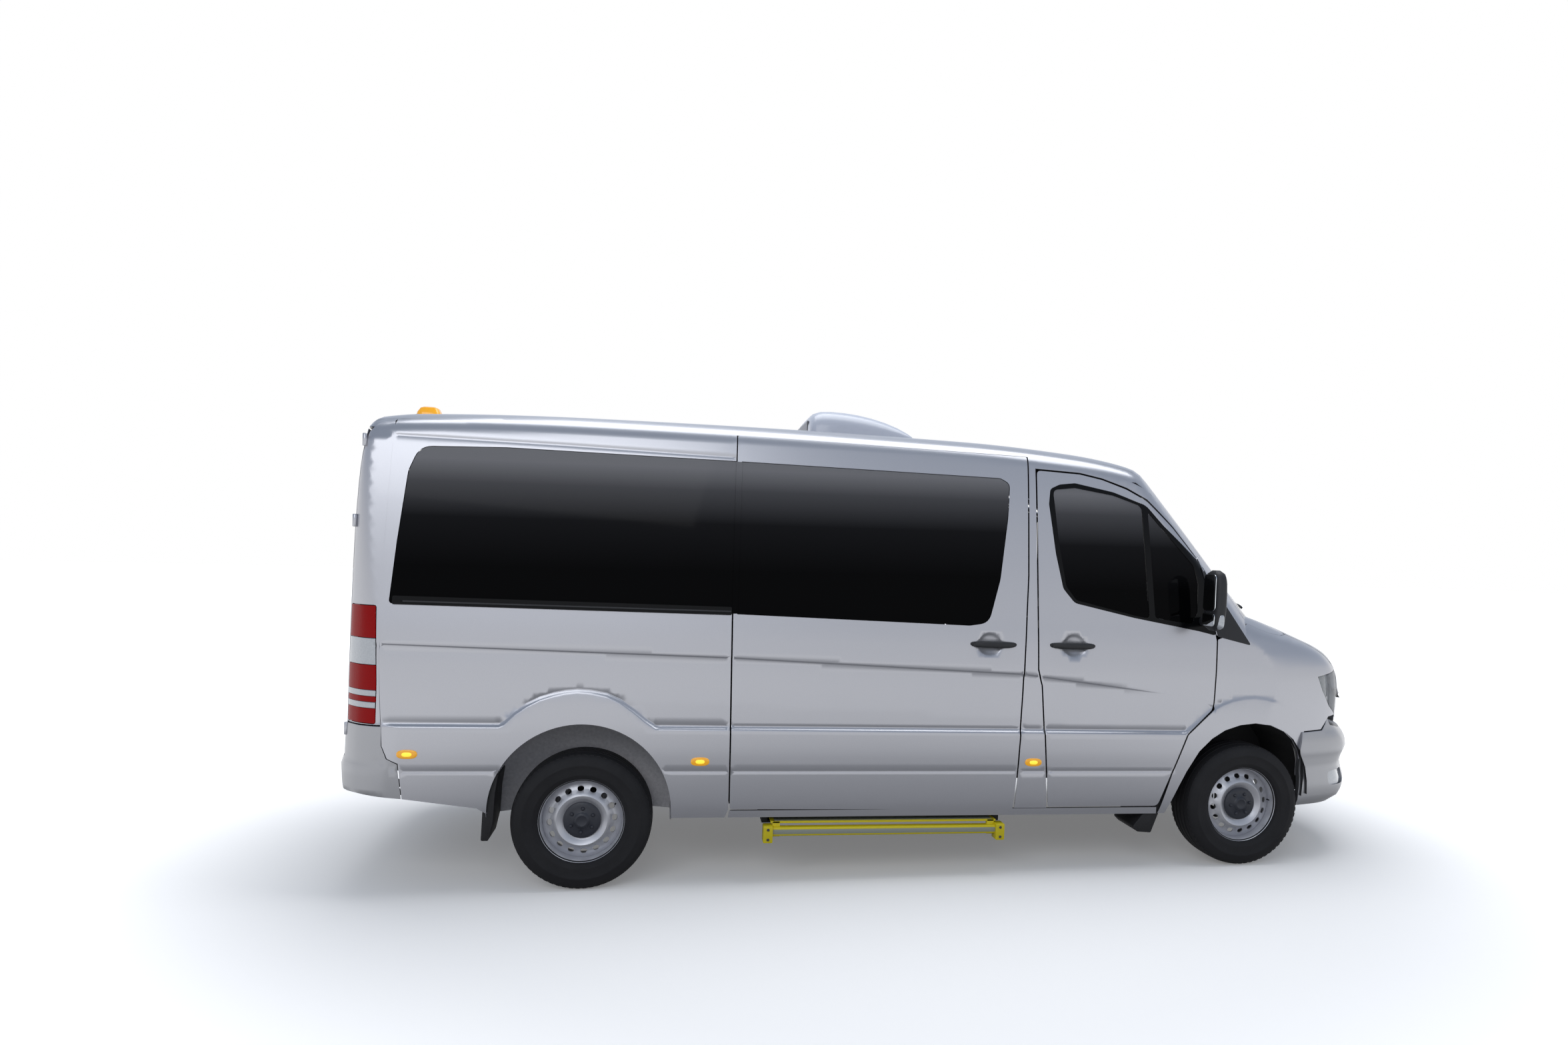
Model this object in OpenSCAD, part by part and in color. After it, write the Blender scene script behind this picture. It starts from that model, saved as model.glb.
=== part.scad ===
// A van-based minibus, in millimetres.
// Origin: on the ground under the middle of the length. +X is forward, +Y left, +Z up.
// The body stands nose-down on its springs, so body pieces are drawn level and then pitched by raked().

/* [Wheels and axles] */
// Distance between the two axles
wheelbase = 3665; // [3400:5:4000]
// Front axle, behind the front of the bumper
front_overhang = 1020; // [980:1:1060]
// Distance of a wheel's middle from the centre line
track_half = 858; // [820:1:870]
// Outer radius of a tyre
tyre_r = 350; // [320:1:365]
// Width of a tyre
tyre_w = 235; // [205:1:245]
// Radius of the rim's flange
rim_r = 220; // [200:1:235]
// Nose-down pitch of the body, in degrees
rake = 0.93; // [0:0.01:1.5]

/* [Body] */
// Overall length from bumper to bumper
body_length = 5926; // [5600:1:6300]
// Half the body's width at its widest
half_width = 990; // [940:1:1020]
// Height of the roof's crown above the body's base plane
roof_z = 2425; // [2300:1:2700]
// Thickness of the side walls, doors and roof with their linings
wall_t = 55; // [40:1:60]
// Gap at the edge of a moving panel
shut_gap = 8; // [7:1:12]
// Thickness of the window glass
glass_t = 5; // [4:0.5:8]
// Height of the load floor's top
floor_z = 660; // [620:1:700]
// Thickness of the floor
floor_t = 50; // [30:1:60]

/* [Step] */
// Length of the side step's tread
step_length = 1270; // [900:10:1280]
// Diameter of the tread's bar
step_bar_d = 52; // [40:1:60]

/* [Roof equipment] */
// Length of the roof air conditioner
aircon_length = 620; // [500:5:800]
// Height of the roof air conditioner
aircon_h = 150; // [100:5:200]

/* [Hidden] */
$fn = 64;

half_length = body_length / 2;
beyond = half_width + 110;   // clear outside the body's sides
front_x = half_length - 690 * sin(rake);   // foremost point of the level body
rear_x = -half_length - 600 * sin(rake);   // rearmost point of the level body
front_axle_x = half_length - front_overhang;
cab_dx = front_x - 2952; // moves every place in the cab and nose, given for a nose at 2952
rear_axle_x = front_axle_x - wheelbase;
right = -1;
left = 1;

// Places along and up the level body, from its base plane
seam_z = roof_z - 125;   // where the side panels meet the roof panel
seam_y = half_width - 210;    // inner edge of that seam
header_y = 600;          // inner edge of the cab's pillars
belt_z = 800;            // top of the bumpers
sill_z = 336;            // underside of the sills
rear_post_x = rear_x + 283;   // joint of side panel and rear door frame
b_post_x = 641 + cab_dx; // rear edge of the front door
slide_rear_x = -1007 + cab_dx;   // rear edge of the sliding door
rear_door_y = half_width - 170;   // outer edge of a rear door
rear_door_x = [rear_x - 30, rear_x + 233];
rear_door_low = 640;
rear_door_high = roof_z - 175;
bonnet_hinge_x = 2262 + cab_dx;
bonnet_front_z = 1148;
firewall_x = 1800 + cab_dx;
firewall_t = 40;
inner_wing_t = 40;
fit = 0.5;               // clearance where a part sits in a recess of its own body

// Wheel places on the level body
rear_wheel_bx = rear_axle_x - tyre_r * sin(rake);
front_wheel_bx = front_axle_x - tyre_r * sin(rake);
rear_wheel_bz = tyre_r + rear_axle_x * sin(rake);
front_wheel_bz = tyre_r + front_axle_x * sin(rake);
kingpin_inset = 90;      // kingpin axis, inboard of the wheel's middle
kingpin_y = track_half - kingpin_inset;
wheelhouse_y = kingpin_y - 228;   // inner wall of the front wheelhouse
bay_half = wheelhouse_y - inner_wing_t;   // half width between the inner wings
rear_wheelhouse_y = track_half - 168;
wheel_clear = 20;        // room round a steered tyre
steer_r = sqrt(tyre_r * tyre_r + pow(kingpin_inset + tyre_w / 2, 2)) + wheel_clear;

// Offset of a closed outline by d towards its inside, for points listed clockwise or not
function turn(p) = let (n = len(p)) sum([for (i = [0 : n - 1]) let (a = p[i], b = p[(i + 1) % n])
    a.x * b.y - b.x * a.y]) > 0 ? 1 : -1;
function sum(v, i = 0) = i < len(v) ? v[i] + sum(v, i + 1) : 0;
function edge_normal(a, b, s) = let (d = b - a) s * [-d.y, d.x] / norm(d);
function shrink(p, d) = let (n = len(p), s = turn(p)) [for (i = [0 : n - 1])
    let (a = p[(i + n - 1) % n], b = p[i], c = p[(i + 1) % n],
         u = edge_normal(a, b, s), v = edge_normal(b, c, s))
    b + d * (u + v) / (1 + u * v)];

// Cross-section of the body: height, and distance of the skin inside the widest point
section_rows = [[300, 40], [400, 15], [583, 5], [790, 0], [860, 15], [1100, 16], [1420, 45]];
// Above the windows: height from the crown, and distance inside the widest point
crown_rows = [[-255, 132], [-135, 155], [-85, 200], [-40, 290], [-10, 540]];
half_section = concat([for (r = section_rows) [half_width - r[1], r[0]]],
    [for (r = crown_rows) [half_width - r[1], roof_z + r[0]]]);
section = concat(half_section, [[0, roof_z]],
    [for (i = [len(half_section) - 1 : -1 : 0]) [-half_section[i].x, half_section[i].y]]);

// Side view of the body: rear end, roof line, and down the windscreen
side_profile = [[rear_x + 38, 300], [rear_x + 41, 1000], [rear_x + 53, 1660],
    [rear_x + 67, roof_z - 425], [rear_x + 97, roof_z - 155], [rear_x + 123, roof_z - 90],
    [rear_x + 193, roof_z - 50],
    [rear_x + 351, roof_z - 30], [rear_x + 1250, roof_z - 5], [-700 + cab_dx, roof_z],
    [278 + cab_dx, roof_z - 8], [905 + cab_dx, roof_z - 40], [1160 + cab_dx, roof_z - 75],
    [1400 + cab_dx, roof_z - 140], [2600 + cab_dx, 1500], [2600 + cab_dx, 300]];

// Plan of the body seen from above, with the rear end's curve; front corners are outside the body
rear_plan_rows = [[43, 1], [55, 400], [111, half_width - 190], [190, half_width - 75],
    [280, half_width - 22]];
roof_dz = roof_z - 2425;  // lifts what is above head_z, which is drawn for a crown at 2425
head_z = 1700;
function moved(p, dx) = [for (q = p) [q.x + dx, q.y > head_z ? q.y + roof_dz : q.y]];
function mirrored(p) = concat(p, [for (i = [len(p) - 1 : -1 : 0]) [p[i].x, -p[i].y]]);
body_plan = mirrored(concat([for (r = rear_plan_rows) [rear_x + r[0], r[1]]],
    [[rear_x + 473, beyond], [front_x - 252, beyond]]));

// Windscreen: rulings lean back by screen_lean, and the glass is bowed across them
screen_lean = 42.2;
screen_crown = 2615 + cab_dx * cos(screen_lean);
screen_bow = 3.2e-7;
screen_plan = mirrored(concat([[-5000, beyond]], [for (y = [1000 : -125 : 0])
    [screen_crown - screen_bow * pow(y, 3), max(y, 1)]]));

// Nose: bowed in plan like the bumper, and falling forwards like the bonnet
nose_bow = 5.11e-7;
lamp_setback = 78;       // lamps and grille stand behind the bumper's front
bonnet_fall = 21;
function bow_plan(front) = mirrored(concat([[front_x - 1750, beyond]], [[front_x - 700, beyond]],
    [for (y = [half_width : -half_width / 8 : 1]) [front - nose_bow * pow(y, 3)
        - (y > 800 ? 0.009 * pow(y - 800, 2) : 0), y]], [[front, 1]]));
bonnet_rows = [[0, 1], [-30, 500], [-78, half_width - 230], [-118, half_width - 140],
    [-180, half_width - 60], [-300, half_width - 5]];
// Distance of the bonnet's crown line along its own normal
bonnet_crown = 2165 + cab_dx * sin(bonnet_fall);
bonnet_section = mirrored(concat([[-1200, 1]], [[-1200, beyond]], [[bonnet_crown - 420, beyond]],
    [for (i = [len(bonnet_rows) - 1 : -1 : 0]) [bonnet_crown + bonnet_rows[i][0],
        bonnet_rows[i][1]]]));
nose_profile = [[front_x - 1550, 300], [front_x - 1550, 1620], [front_x - 690, 1412],
    [front_x - 472, 1352], [front_x - 312, 1292],
    [front_x - 205, 1232], [front_x - 135, 1172], [front_x - 90, 1090], [front_x - 79, 960],
    [front_x - 88, 760], [front_x - 88, 300]];
bumper_profile = [[front_x - 750, 340], [front_x - 750, 795], [front_x - 60, 795], [front_x - 35, 752],
    [front_x, 690], [front_x - 6, 600], [front_x - 8, 478], [front_x - 18, 415],
    [front_x - 68, 379], [front_x - 218, 356]];

module raked() { rotate([0, rake, 0]) children(); }
module along_x(outline, x0, x1) {
    translate([x0, 0, 0]) rotate([90, 0, 90]) linear_extrude(x1 - x0) polygon(outline);
}
module along_y(outline, y0, y1) {
    translate([0, y1, 0]) rotate([90, 0, 0]) linear_extrude(y1 - y0) polygon(outline);
}
module along_z(outline, z0, z1) {
    translate([0, 0, z0]) linear_extrude(z1 - z0) polygon(outline);
}
module block(x, y, z) { translate([x[0], y[0], z[0]]) cube([x[1] - x[0], y[1] - y[0], z[1] - z[0]]); }
module side_block(side, x, y, z) {
    block(x, side > 0 ? y : [-y[1], -y[0]], z);
}
module side_prism(side, outline, y0 = 300, y1 = beyond) {
    along_y(outline, side > 0 ? y0 : -y1, side > 0 ? y1 : -y0);
}
module mirror_if(side) { mirror([0, side > 0 ? 0 : 1, 0]) children(); }
module both_sides() { children(); mirror([0, 1, 0]) children(); }

// Solid outline of the cab and saloon, offset inwards by d
module saloon_hull(d = 0) {
    intersection() {
        along_x(shrink(section, d), -3100, 3100);
        along_y(shrink(side_profile, d), -beyond, beyond);
        along_z(shrink(body_plan, d), 0, roof_z + 100);
        rotate([0, -screen_lean, 0]) along_z(shrink(screen_plan, d), -2000, 5000);
    }
}
// Solid outline of the bonnet and wings, offset inwards by d
module nose_hull(d = 0) {
    intersection() {
        along_x(shrink([for (p = section) [p.x, p.y]], d), 1000, 3100);
        along_y(shrink(nose_profile, d), -beyond, beyond);
        along_z(shrink(bow_plan(front_x - lamp_setback), d), 0, 3000);
        rotate([0, 90 + bonnet_fall, 0]) rotate([0, 0, 180])
            along_z(shrink(bonnet_section, d), -3000, 5000);
    }
}
module bumper_hull(d = 0) {
    intersection() {
        along_x(shrink(section, d), 1000, 3100);
        along_y(shrink(bumper_profile, d), -beyond, beyond);
        along_z(shrink(bow_plan(front_x), d), 0, 3000);
    }
}
// Shell of the saloon between two depths
module saloon_shell(d0 = 0, d1 = wall_t) {
    difference() { saloon_hull(d0); saloon_hull(d1); }
}

// Wheel room
rear_arch_r = 449;
rear_arch_x = rear_wheel_bx - 8;
rear_arch_z = rear_wheel_bz + 51;
front_arch = moved([[1412, 200], [1412, 357], [1521, 495], [1563, 581], [1632, 695], [1708, 769],
    [1786, 817], [1880, 847], [1975, 858], [2072, 846], [2172, 807], [2234, 759], [2277, 696],
    [2301, 616], [2308, 536], [2301, 447], [2290, 389], [2290, 200]], cab_dx);
module front_wheel_room(side) {
    mirror_if(side) {
        intersection() {
            translate([front_wheel_bx, kingpin_y, 0]) cylinder(h = 800, r = steer_r);
            block([front_wheel_bx - 1000, front_wheel_bx + 800], [wheelhouse_y, 1200], [0, 900]);
        }
        intersection() {
            along_y(front_arch, wheelhouse_y, beyond);
            block([front_wheel_bx - 1000, front_wheel_bx + 800], [kingpin_y - 60, 1200], [0, 900]);
        }
    }
}
module rear_wheel_room(side, y0 = rear_wheelhouse_y) {
    mirror_if(side) {
        translate([rear_arch_x, beyond, rear_arch_z]) rotate([90, 0, 0])
            cylinder(h = beyond - y0, r = rear_arch_r);
        block([rear_arch_x - rear_arch_r, rear_arch_x + rear_arch_r], [y0, beyond],
            [0, rear_arch_z]);
    }
}

// Openings in the sides
front_door_outline = moved([[641, 2235], [665, 1139], [689, 1053], [747, 382], [1401, 382],
    [1557, 793], [1713, 936], [1726, 1321], [1622, 1759], [1459, 1950], [1297, 2095],
    [1175, 2154], [1030, 2200], [897, 2225]], cab_dx);
sliding_door_outline = moved([[-1007, seam_z - 10], [-1006, 1347], [-990, 382], [559, 369],
    [580, 1116], [590, seam_z - 10]], cab_dx);
window_rear = [[312, 1415], [325, 1600], [353, 1900], [373, 2050], [403, 2120], [443, 2155],
    [519, 2177], [817, 2189]];
window_front = [[448, 2189], [478, 2160], [479, 2080], [433, 1622], [400, 1480], [345, 1404],
    [266, 1375], [-987, 1396]];
long_window = concat(moved(window_rear, rear_x), moved(window_front, cab_dx));
window_split_x = slide_rear_x + 9;   // the long window parts at the sliding door's rear edge
front_window = moved([[738, 2131], [777, 2155], [897, 2165], [1095, 2130], [1248, 2080], [1360, 1985],
    [1580, 1740], [1609, 1640], [1596, 1480], [1560, 1418], [1300, 1425], [897, 1498],
    [830, 1560], [771, 1800]], cab_dx);
module front_door_prism(side, grow = 0, y0 = 300) {
    side_prism(side, shrink(front_door_outline, -grow), y0);
}
module sliding_door_prism(grow = 0, y0 = 300) {
    side_prism(right, shrink(sliding_door_outline, -grow), y0);
}
module rear_window_part(side, from_x, to_x, grow = 0) {
    intersection() {
        side_prism(side, shrink(long_window, -grow));
        block([from_x, to_x], [-1200, 1200], [1000, seam_z]);
    }
}
window_edge = 60;        // width of the sliding door's frame beside the split
module side_window_cut(side, grow = 0) {
    rear_window_part(side, rear_x, window_split_x - (side < 0 ? window_edge : 20), grow);
    if (side > 0) rear_window_part(side, window_split_x + 20, b_post_x - 81, grow);
}

// Floor with its rear wheel boxes, cab floor and side step well
module floor_pan() color("dimgray") raked() {
    inner = half_width - wall_t - 25;
    well_x = [slide_rear_x + 57, b_post_x - 121];
    well_y = 620;        // inner edge of the entrance well
    difference() {
        intersection() {
            saloon_hull(wall_t);
            union() {
                block([rear_x + 250, firewall_x - 400], [-inner, inner],
                    [floor_z - floor_t, floor_z]);
                block([rear_x + 128, rear_x + 251], [-rear_door_y + 60, rear_door_y - 60],
                    [floor_z - floor_t, floor_z]);
                block([firewall_x - 401, firewall_x - fit], [-wheelhouse_y + 7, wheelhouse_y - 7],
                    [floor_z - floor_t, floor_z]);
                both_sides()
                    block([rear_arch_x - rear_arch_r - 40, rear_arch_x + rear_arch_r + 40],
                        [rear_wheelhouse_y - 30, beyond],
                        [floor_z - floor_t, rear_arch_z + rear_arch_r + 40]);
            }
        }
        both_sides() rear_wheel_room(left);
        // entrance well inside the sliding door
        block(well_x, [-beyond, -well_y], [300, floor_z + 10]);
    }
    intersection() {
        saloon_hull(wall_t);
        difference() {
            block([well_x[0] - 40, well_x[1] + 40], [-beyond, -well_y + 40], [400, floor_z]);
            block(well_x, [-beyond, -well_y], [440, floor_z + 10]);
        }
    }
}

// Two long rails with cross-members under the floor
rail_y = 420;
rail_w = 70;
rail_z = [480, floor_z - floor_t];
tow_bolt_d = 13;
jack_pad = 90;           // side of a jacking pad under a rail
module chassis_frame() color("black") raked() {
    difference() {
        union() {
            both_sides() block([slide_rear_x - 38, slide_rear_x - 38 + jack_pad],
                [rail_y + (rail_w - jack_pad) / 2, rail_y + (rail_w + jack_pad) / 2],
                [rail_z[0] - 20, rail_z[0] + 1]);
            both_sides() block([rear_x + 133, front_x - 312], [rail_y, rail_y + rail_w], rail_z);
            for (x = [rear_x + 133, rear_axle_x - 480, rear_axle_x + 570, rear_axle_x + 1420,
                b_post_x + 59, b_post_x + 539])
                block([x, x + 70], [-rail_y - 1, rail_y + 1], rail_z);
        }
        // tow-bar bolt holes up through each rail
        both_sides() for (x = [rear_x + 273, rear_x + 373])
            translate([x, rail_y + rail_w / 2, rail_z[0] - 50])
                cylinder(h = rail_z[1] - rail_z[0] + 100, d = tow_bolt_d);
    }
}

module side_panel(side) {
    out = [seam_y, beyond];
    difference() {
        intersection() {
            saloon_shell();
            union() {
                side_block(side, [rear_post_x, b_post_x + 100], out, [sill_z, seam_z]);
                side_block(side, [b_post_x, b_post_x + 713], out, [sill_z, 372]);
                side_block(side, [b_post_x, b_post_x + 659], out, [seam_z - 55, seam_z]);
            }
        }
        front_door_prism(side, shut_gap);
        if (side < 0) sliding_door_prism(shut_gap - 2);
        side_window_cut(side);
        rear_wheel_room(side, 500);
        block([rear_x, front_x], [-half_width + 110, half_width - 110],
            [sill_z - 100, sill_z + 60]);
        // rear quarter's lower edge rises to the bumper
        side_prism(side, moved([[-30, 200], [873, 200], [743, 400], [402, 430], [381, 620],
            [305, 640], [305, belt_z + 4], [-30, belt_z + 4]], rear_x));
    }
}
module right_side_panel() color("silver") raked() side_panel(right);
module left_side_panel() color("silver") raked() side_panel(left);

module roof_panel() color("silver") raked() difference() {
    intersection() {
        saloon_shell();
        block([rear_post_x, firewall_x - 100], [-beyond, beyond], [seam_z - 150, roof_z + 10]);
    }
    both_sides() block([rear_x, b_post_x + 659], [seam_y, beyond], [seam_z - 200, seam_z]);
    both_sides() block([b_post_x + 455, firewall_x + 200], [header_y, beyond],
        [seam_z - 300, seam_z - 55]);
    screen_zone();
    front_door_prism(right, shut_gap);
    front_door_prism(left, shut_gap);
}
// Region ahead of the roof's front edge, square to the windscreen's rulings
header_top = 660 + roof_dz / cos(screen_lean);   // distance along the rulings of the roof's front edge
ruling_dz = -cab_dx * sin(screen_lean);
module screen_zone() {
    rotate([0, -screen_lean, 0]) translate([screen_crown - 1115, -1200, -2000])
        cube([2000, 2400, 2000 + ruling_dz + header_top]);
}

module rear_door_frame() color("silver") raked() difference() {
    intersection() {
        saloon_shell();
        block([rear_x - 30, rear_post_x], [-beyond, beyond], [rear_door_low - 60, roof_z + 10]);
    }
    block(rear_door_x, [-rear_door_y - shut_gap, rear_door_y + shut_gap],
        [rear_door_low - shut_gap, rear_door_high + shut_gap]);
    block(rear_door_x, [-rear_door_y, rear_door_y], [500, rear_door_low]);
    tail_lamp_prism();
    block([rear_x - 30, rear_x + 305], [-beyond, beyond], [300, belt_z + 4]);
}

// Pillars, header, scuttle and firewall round the windscreen
module windscreen_frame() color("silver") raked() {
    difference() {
        intersection() {
            saloon_shell();
            union() {
                intersection() {
                    screen_zone();
                    block([b_post_x, front_x], [-beyond, beyond], [1300, roof_z + 10]);
                }
                both_sides() block([b_post_x + 459, firewall_x + firewall_t],
                    [header_y, beyond], [780, seam_z - 55]);
            }
        }
        front_door_prism(right, shut_gap);
        front_door_prism(left, shut_gap);
        both_sides() side_prism(left, wing_outline, bay_half);
        windscreen_cut();
        block([bonnet_hinge_x - 12, front_x], [-beyond, beyond], [1000, 1500]);
    }
    difference() {
        intersection() {
            saloon_hull(wall_t);
            union() {
                block([firewall_x, firewall_x + firewall_t], [-900, 900], [floor_z - floor_t, 1380]);
                block([firewall_x, bonnet_hinge_x - 14], [-840, 840], [1340, 1380]);
            }
        }
        both_sides() front_wheel_room(left);
    }
    // tops of the front wheelhouses, inside the cab
    both_sides() difference() {
        block([firewall_x - 400, firewall_x + 1], [wheelhouse_y - 6, half_width - 95],
            [floor_z - floor_t, 880]);
        block([firewall_x - 800, firewall_x - 40], [wheelhouse_y + 34, beyond], [500, 840]);
        front_wheel_room(left);
    }
}
screen_top_y = half_width - 350; // half width of the windscreen's top and bottom edges
screen_low_y = half_width - 155;
module windscreen_cut() {
    rotate([0, -screen_lean, 0]) translate([screen_crown - 1115, 0, ruling_dz])
        rotate([90, 0, 90]) linear_extrude(2000) polygon([[-screen_low_y, -395],
            [-screen_top_y, header_top - 60], [screen_top_y, header_top - 60],
            [screen_low_y, -395]]);
}

wing_outline = moved([[1412, sill_z], [1557, 793], [1713, 936], [1726, 1335], [1939, 1306],
    [2105, 1330], [2248, 1420], [2900, 1420], [2900, sill_z]], cab_dx);
module front_wings() color("silver") raked() difference() {
    intersection() {
        nose_hull();
        both_sides() side_prism(left, wing_outline, bay_half);
    }
    front_door_prism(right, shut_gap);
    front_door_prism(left, shut_gap);
    both_sides() front_wheel_room(left);
    bonnet_zone(bonnet_room);
    headlamp_zone();
    // room for bumper and grille
    block([bumper_side_x, front_x], [-beyond, beyond], [0, belt_z]);
    block([front_x - 472, front_x], [-lamp_y, lamp_y], [0, 1500]);
    both_sides() block([firewall_x - 400, firewall_x + firewall_t + 20], [300, half_width - 90],
        [300, 1400]);
    both_sides() block([firewall_x, bonnet_hinge_x], [300, 845], [1330, 1390]);
    intersection() {
        nose_hull(40);
        both_sides() block([firewall_x, front_x - 472], [bay_half + inner_wing_t, beyond],
            [880, 1400]);
    }
}

bumper_side_x = 2312 + cab_dx;   // rear edge of the bumper's sides
lamp_y = 600;            // inner edge of a headlamp

// The bonnet's outline in plan
bonnet_plan = mirrored(moved([[-690, 1], [-690, 770], [-392, 745], [-232, 690], [10, 560],
    [10, 1]], front_x));
bonnet_t = 40;
bonnet_room = 5;         // extra gap at the wings for the bonnet's swing
module bonnet_zone(grow = 0) {
    along_z(shrink(bonnet_plan, -grow - shut_gap), bonnet_front_z - shut_gap - grow, 2000);
}
module bonnet() color("silver") raked() intersection() {
    difference() { nose_hull(); nose_hull(bonnet_t); }
    along_z(bonnet_plan, bonnet_front_z, 2000);
}

lamp_outline = moved([[2425, 1118], [2560, 1138], [2700, 1138], [2800, 1100], [2780, 860],
    [2700, 830], [2539, 942], [2470, 1036]], cab_dx);
module headlamp_zone() {
    both_sides() side_prism(left, lamp_outline, lamp_y);
}
module headlamps() color("white") raked() difference() {
    intersection() {
        difference() { nose_hull(); nose_hull(110); }
        headlamp_zone();
    }
    bonnet_zone();
}

module grille_panel() color("dimgray") raked() difference() {
    intersection() {
        difference() { nose_hull(); nose_hull(70); }
        block([front_x - 452, front_x], [-lamp_y + fit, lamp_y - fit],
            [belt_z, bonnet_front_z - shut_gap]);
    }
    bonnet_zone();
}

bumper_t = 70;
module front_bumper() color("gray") raked() difference() {
    bumper_hull();
    intersection() {
        along_z(shrink(bow_plan(front_x), bumper_t), 0, 3000);
        along_x(shrink(section, bumper_t), 1000, 3100);
        block([b_post_x, front_x], [-beyond, beyond], [200, 900]);
    }
    block([b_post_x, front_x - 200], [-700, 700], [200, 900]);
    both_sides() front_wheel_room(left);
    // the arch's front edge and the joint to the wing
    block([b_post_x, bumper_side_x], [-beyond, beyond], [0, 900]);
}

module windscreen() color("darkslategray") raked() intersection() {
    difference() { saloon_hull(2); saloon_hull(2 + glass_t); }
    windscreen_cut();
}

// Fixed glass of the saloon, and the sliding door's pane
module side_windows() color("darkslategray") raked() {
    intersection() {
        difference() { saloon_hull(2); saloon_hull(2 + glass_t); }
        union() {
            side_window_cut(right);
            side_window_cut(left);
            sliding_window_prism();
        }
    }
}
module sliding_window_prism() {
    rear_window_part(right, window_split_x + window_edge, b_post_x - 81);
}
module sliding_door() color("silver") raked() difference() {
    intersection() {
        saloon_shell();
        sliding_door_prism(0, seam_y + 2);
    }
    sliding_window_prism();
}
module sliding_door_rail() color("black") raked() {
    intersection() {
        difference() { saloon_hull(-8); saloon_hull(0); }
        side_block(right, [rear_x + 329, slide_rear_x - 3], [300, 1200], [1395, 1430]);
    }
}

tail_lamp_z = [810, 1382];
module tail_lamp_prism() {
    both_sides() block([rear_x + 23, rear_x + 268], [rear_door_y + shut_gap + 22, beyond],
        tail_lamp_z);
}
module tail_lamps() color("firebrick") raked() intersection() {
    difference() { saloon_hull(-4); saloon_hull(wall_t - 5); }
    tail_lamp_prism();
}

bumper_step = 43;        // how far the bumper stands behind the doors
module rear_bumper() color("gray") raked() difference() {
    intersection() {
        along_x(section, rear_x - 100, rear_x + 773);
        along_z(mirrored(concat([for (r = rear_plan_rows) [rear_x + r[0] - bumper_step,
            r[1]]], [[rear_x + 473, 984],
            [rear_x + 743, 984]])), 0, 3000);
        along_y(moved([[3, 620], [3, 500], [153, 475], [402, 412], [673, 398], [735, 391],
            [735, 396], [397, 426], [376, 615], [300, 635], [300, belt_z], [213, belt_z],
            [213, rear_door_low - shut_gap], [3, rear_door_low - shut_gap]], rear_x),
            -beyond, beyond);
    }
    intersection() {
        along_z(shrink(body_plan, 30), 0, 3000);
        along_x(shrink(section, bumper_t), rear_x, rear_x + 1000);
    }
    rear_wheel_room(right, 300);
    rear_wheel_room(left, 300);
}

module mud_flaps() color("black") raked() {
    both_sides() {
        along_y(moved([[-433, 577], [-421, 577], [-452, sill_z - 14], [-464, sill_z - 14]],
            rear_wheel_bx), 740, half_width - 115);
        along_y(moved([[-464, sill_z - 14], [-452, sill_z - 14], [-465, 230], [-477, 230]],
            rear_wheel_bx), 740, half_width - 25);
        along_y(moved([[1370, 330], [1358, 330], [1349, 226], [1361, 226]], cab_dx), 740,
            half_width - 115);
    }
}

module roof_air_conditioner() color("gainsboro") raked() {
    x0 = -572 + cab_dx;
    z0 = roof_z - 6;
    difference() {
        along_y([[x0, z0 - 30], [x0 + 6, z0 + 105], [x0 + 30, z0 + aircon_h - 6],
            [x0 + 90, z0 + aircon_h], [x0 + 0.35 * aircon_length, z0 + aircon_h - 10],
            [x0 + 0.62 * aircon_length, z0 + aircon_h - 35],
            [x0 + 0.82 * aircon_length, z0 + aircon_h - 75],
            [x0 + aircon_length, z0 - 10], [x0 + aircon_length, z0 - 30]], -430, 430);
        saloon_hull();
    }
}

module amber_beacon() color("orange") raked() {
    difference() {
        along_y([for (q = [[183, -45], [183, 0], [211, 45], [313, 45], [325, 0], [325, -45]])
            [rear_x + q.x, roof_z + q.y]], -70, 70);
        saloon_hull();
    }
}

// Motor box and channel under the right sill
step_x = [slide_rear_x + 196, slide_rear_x + 196 + step_length + 42];
step_z = 262;
step_y = -930;
module side_step_housing() color("black") raked() {
    difference() {
        block(step_x, [-half_width + 118, -520], [285, 400]);
        block([step_x[0] + 30, step_x[1] - 30], [-1000, -560], [296, 388]);
    }
    for (x = [step_x[0] + 60, step_x[1] - 100]) block([x, x + 40], [-520.5, -rail_y - rail_w],
        [330, 500]);
}
module side_step_tread() color("yellow") raked() {
    middle = (step_x[0] + step_x[1]) / 2;
    difference() {
        union() {
            block([middle - step_length / 2 + 20, middle + step_length / 2 - 20], [-950, -640],
                [302, 314]);
            both_sides_x(middle) {
                block([middle + step_length / 2 - 60, middle + step_length / 2 - 20], [-950, -925],
                    [230, 314]);
                block([middle + step_length / 2 - 26, middle + step_length / 2 + 24], [-990, -920],
                    [208, 296]);
            }
            translate([middle - step_length / 2, step_y - 20, step_z]) rotate([0, 90, 0])
                cylinder(h = step_length, d = step_bar_d);
        }
    }
}
module both_sides_x(x) {
    children();
    translate([x, 0, 0]) mirror([1, 0, 0]) translate([-x, 0, 0]) children();
}

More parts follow.
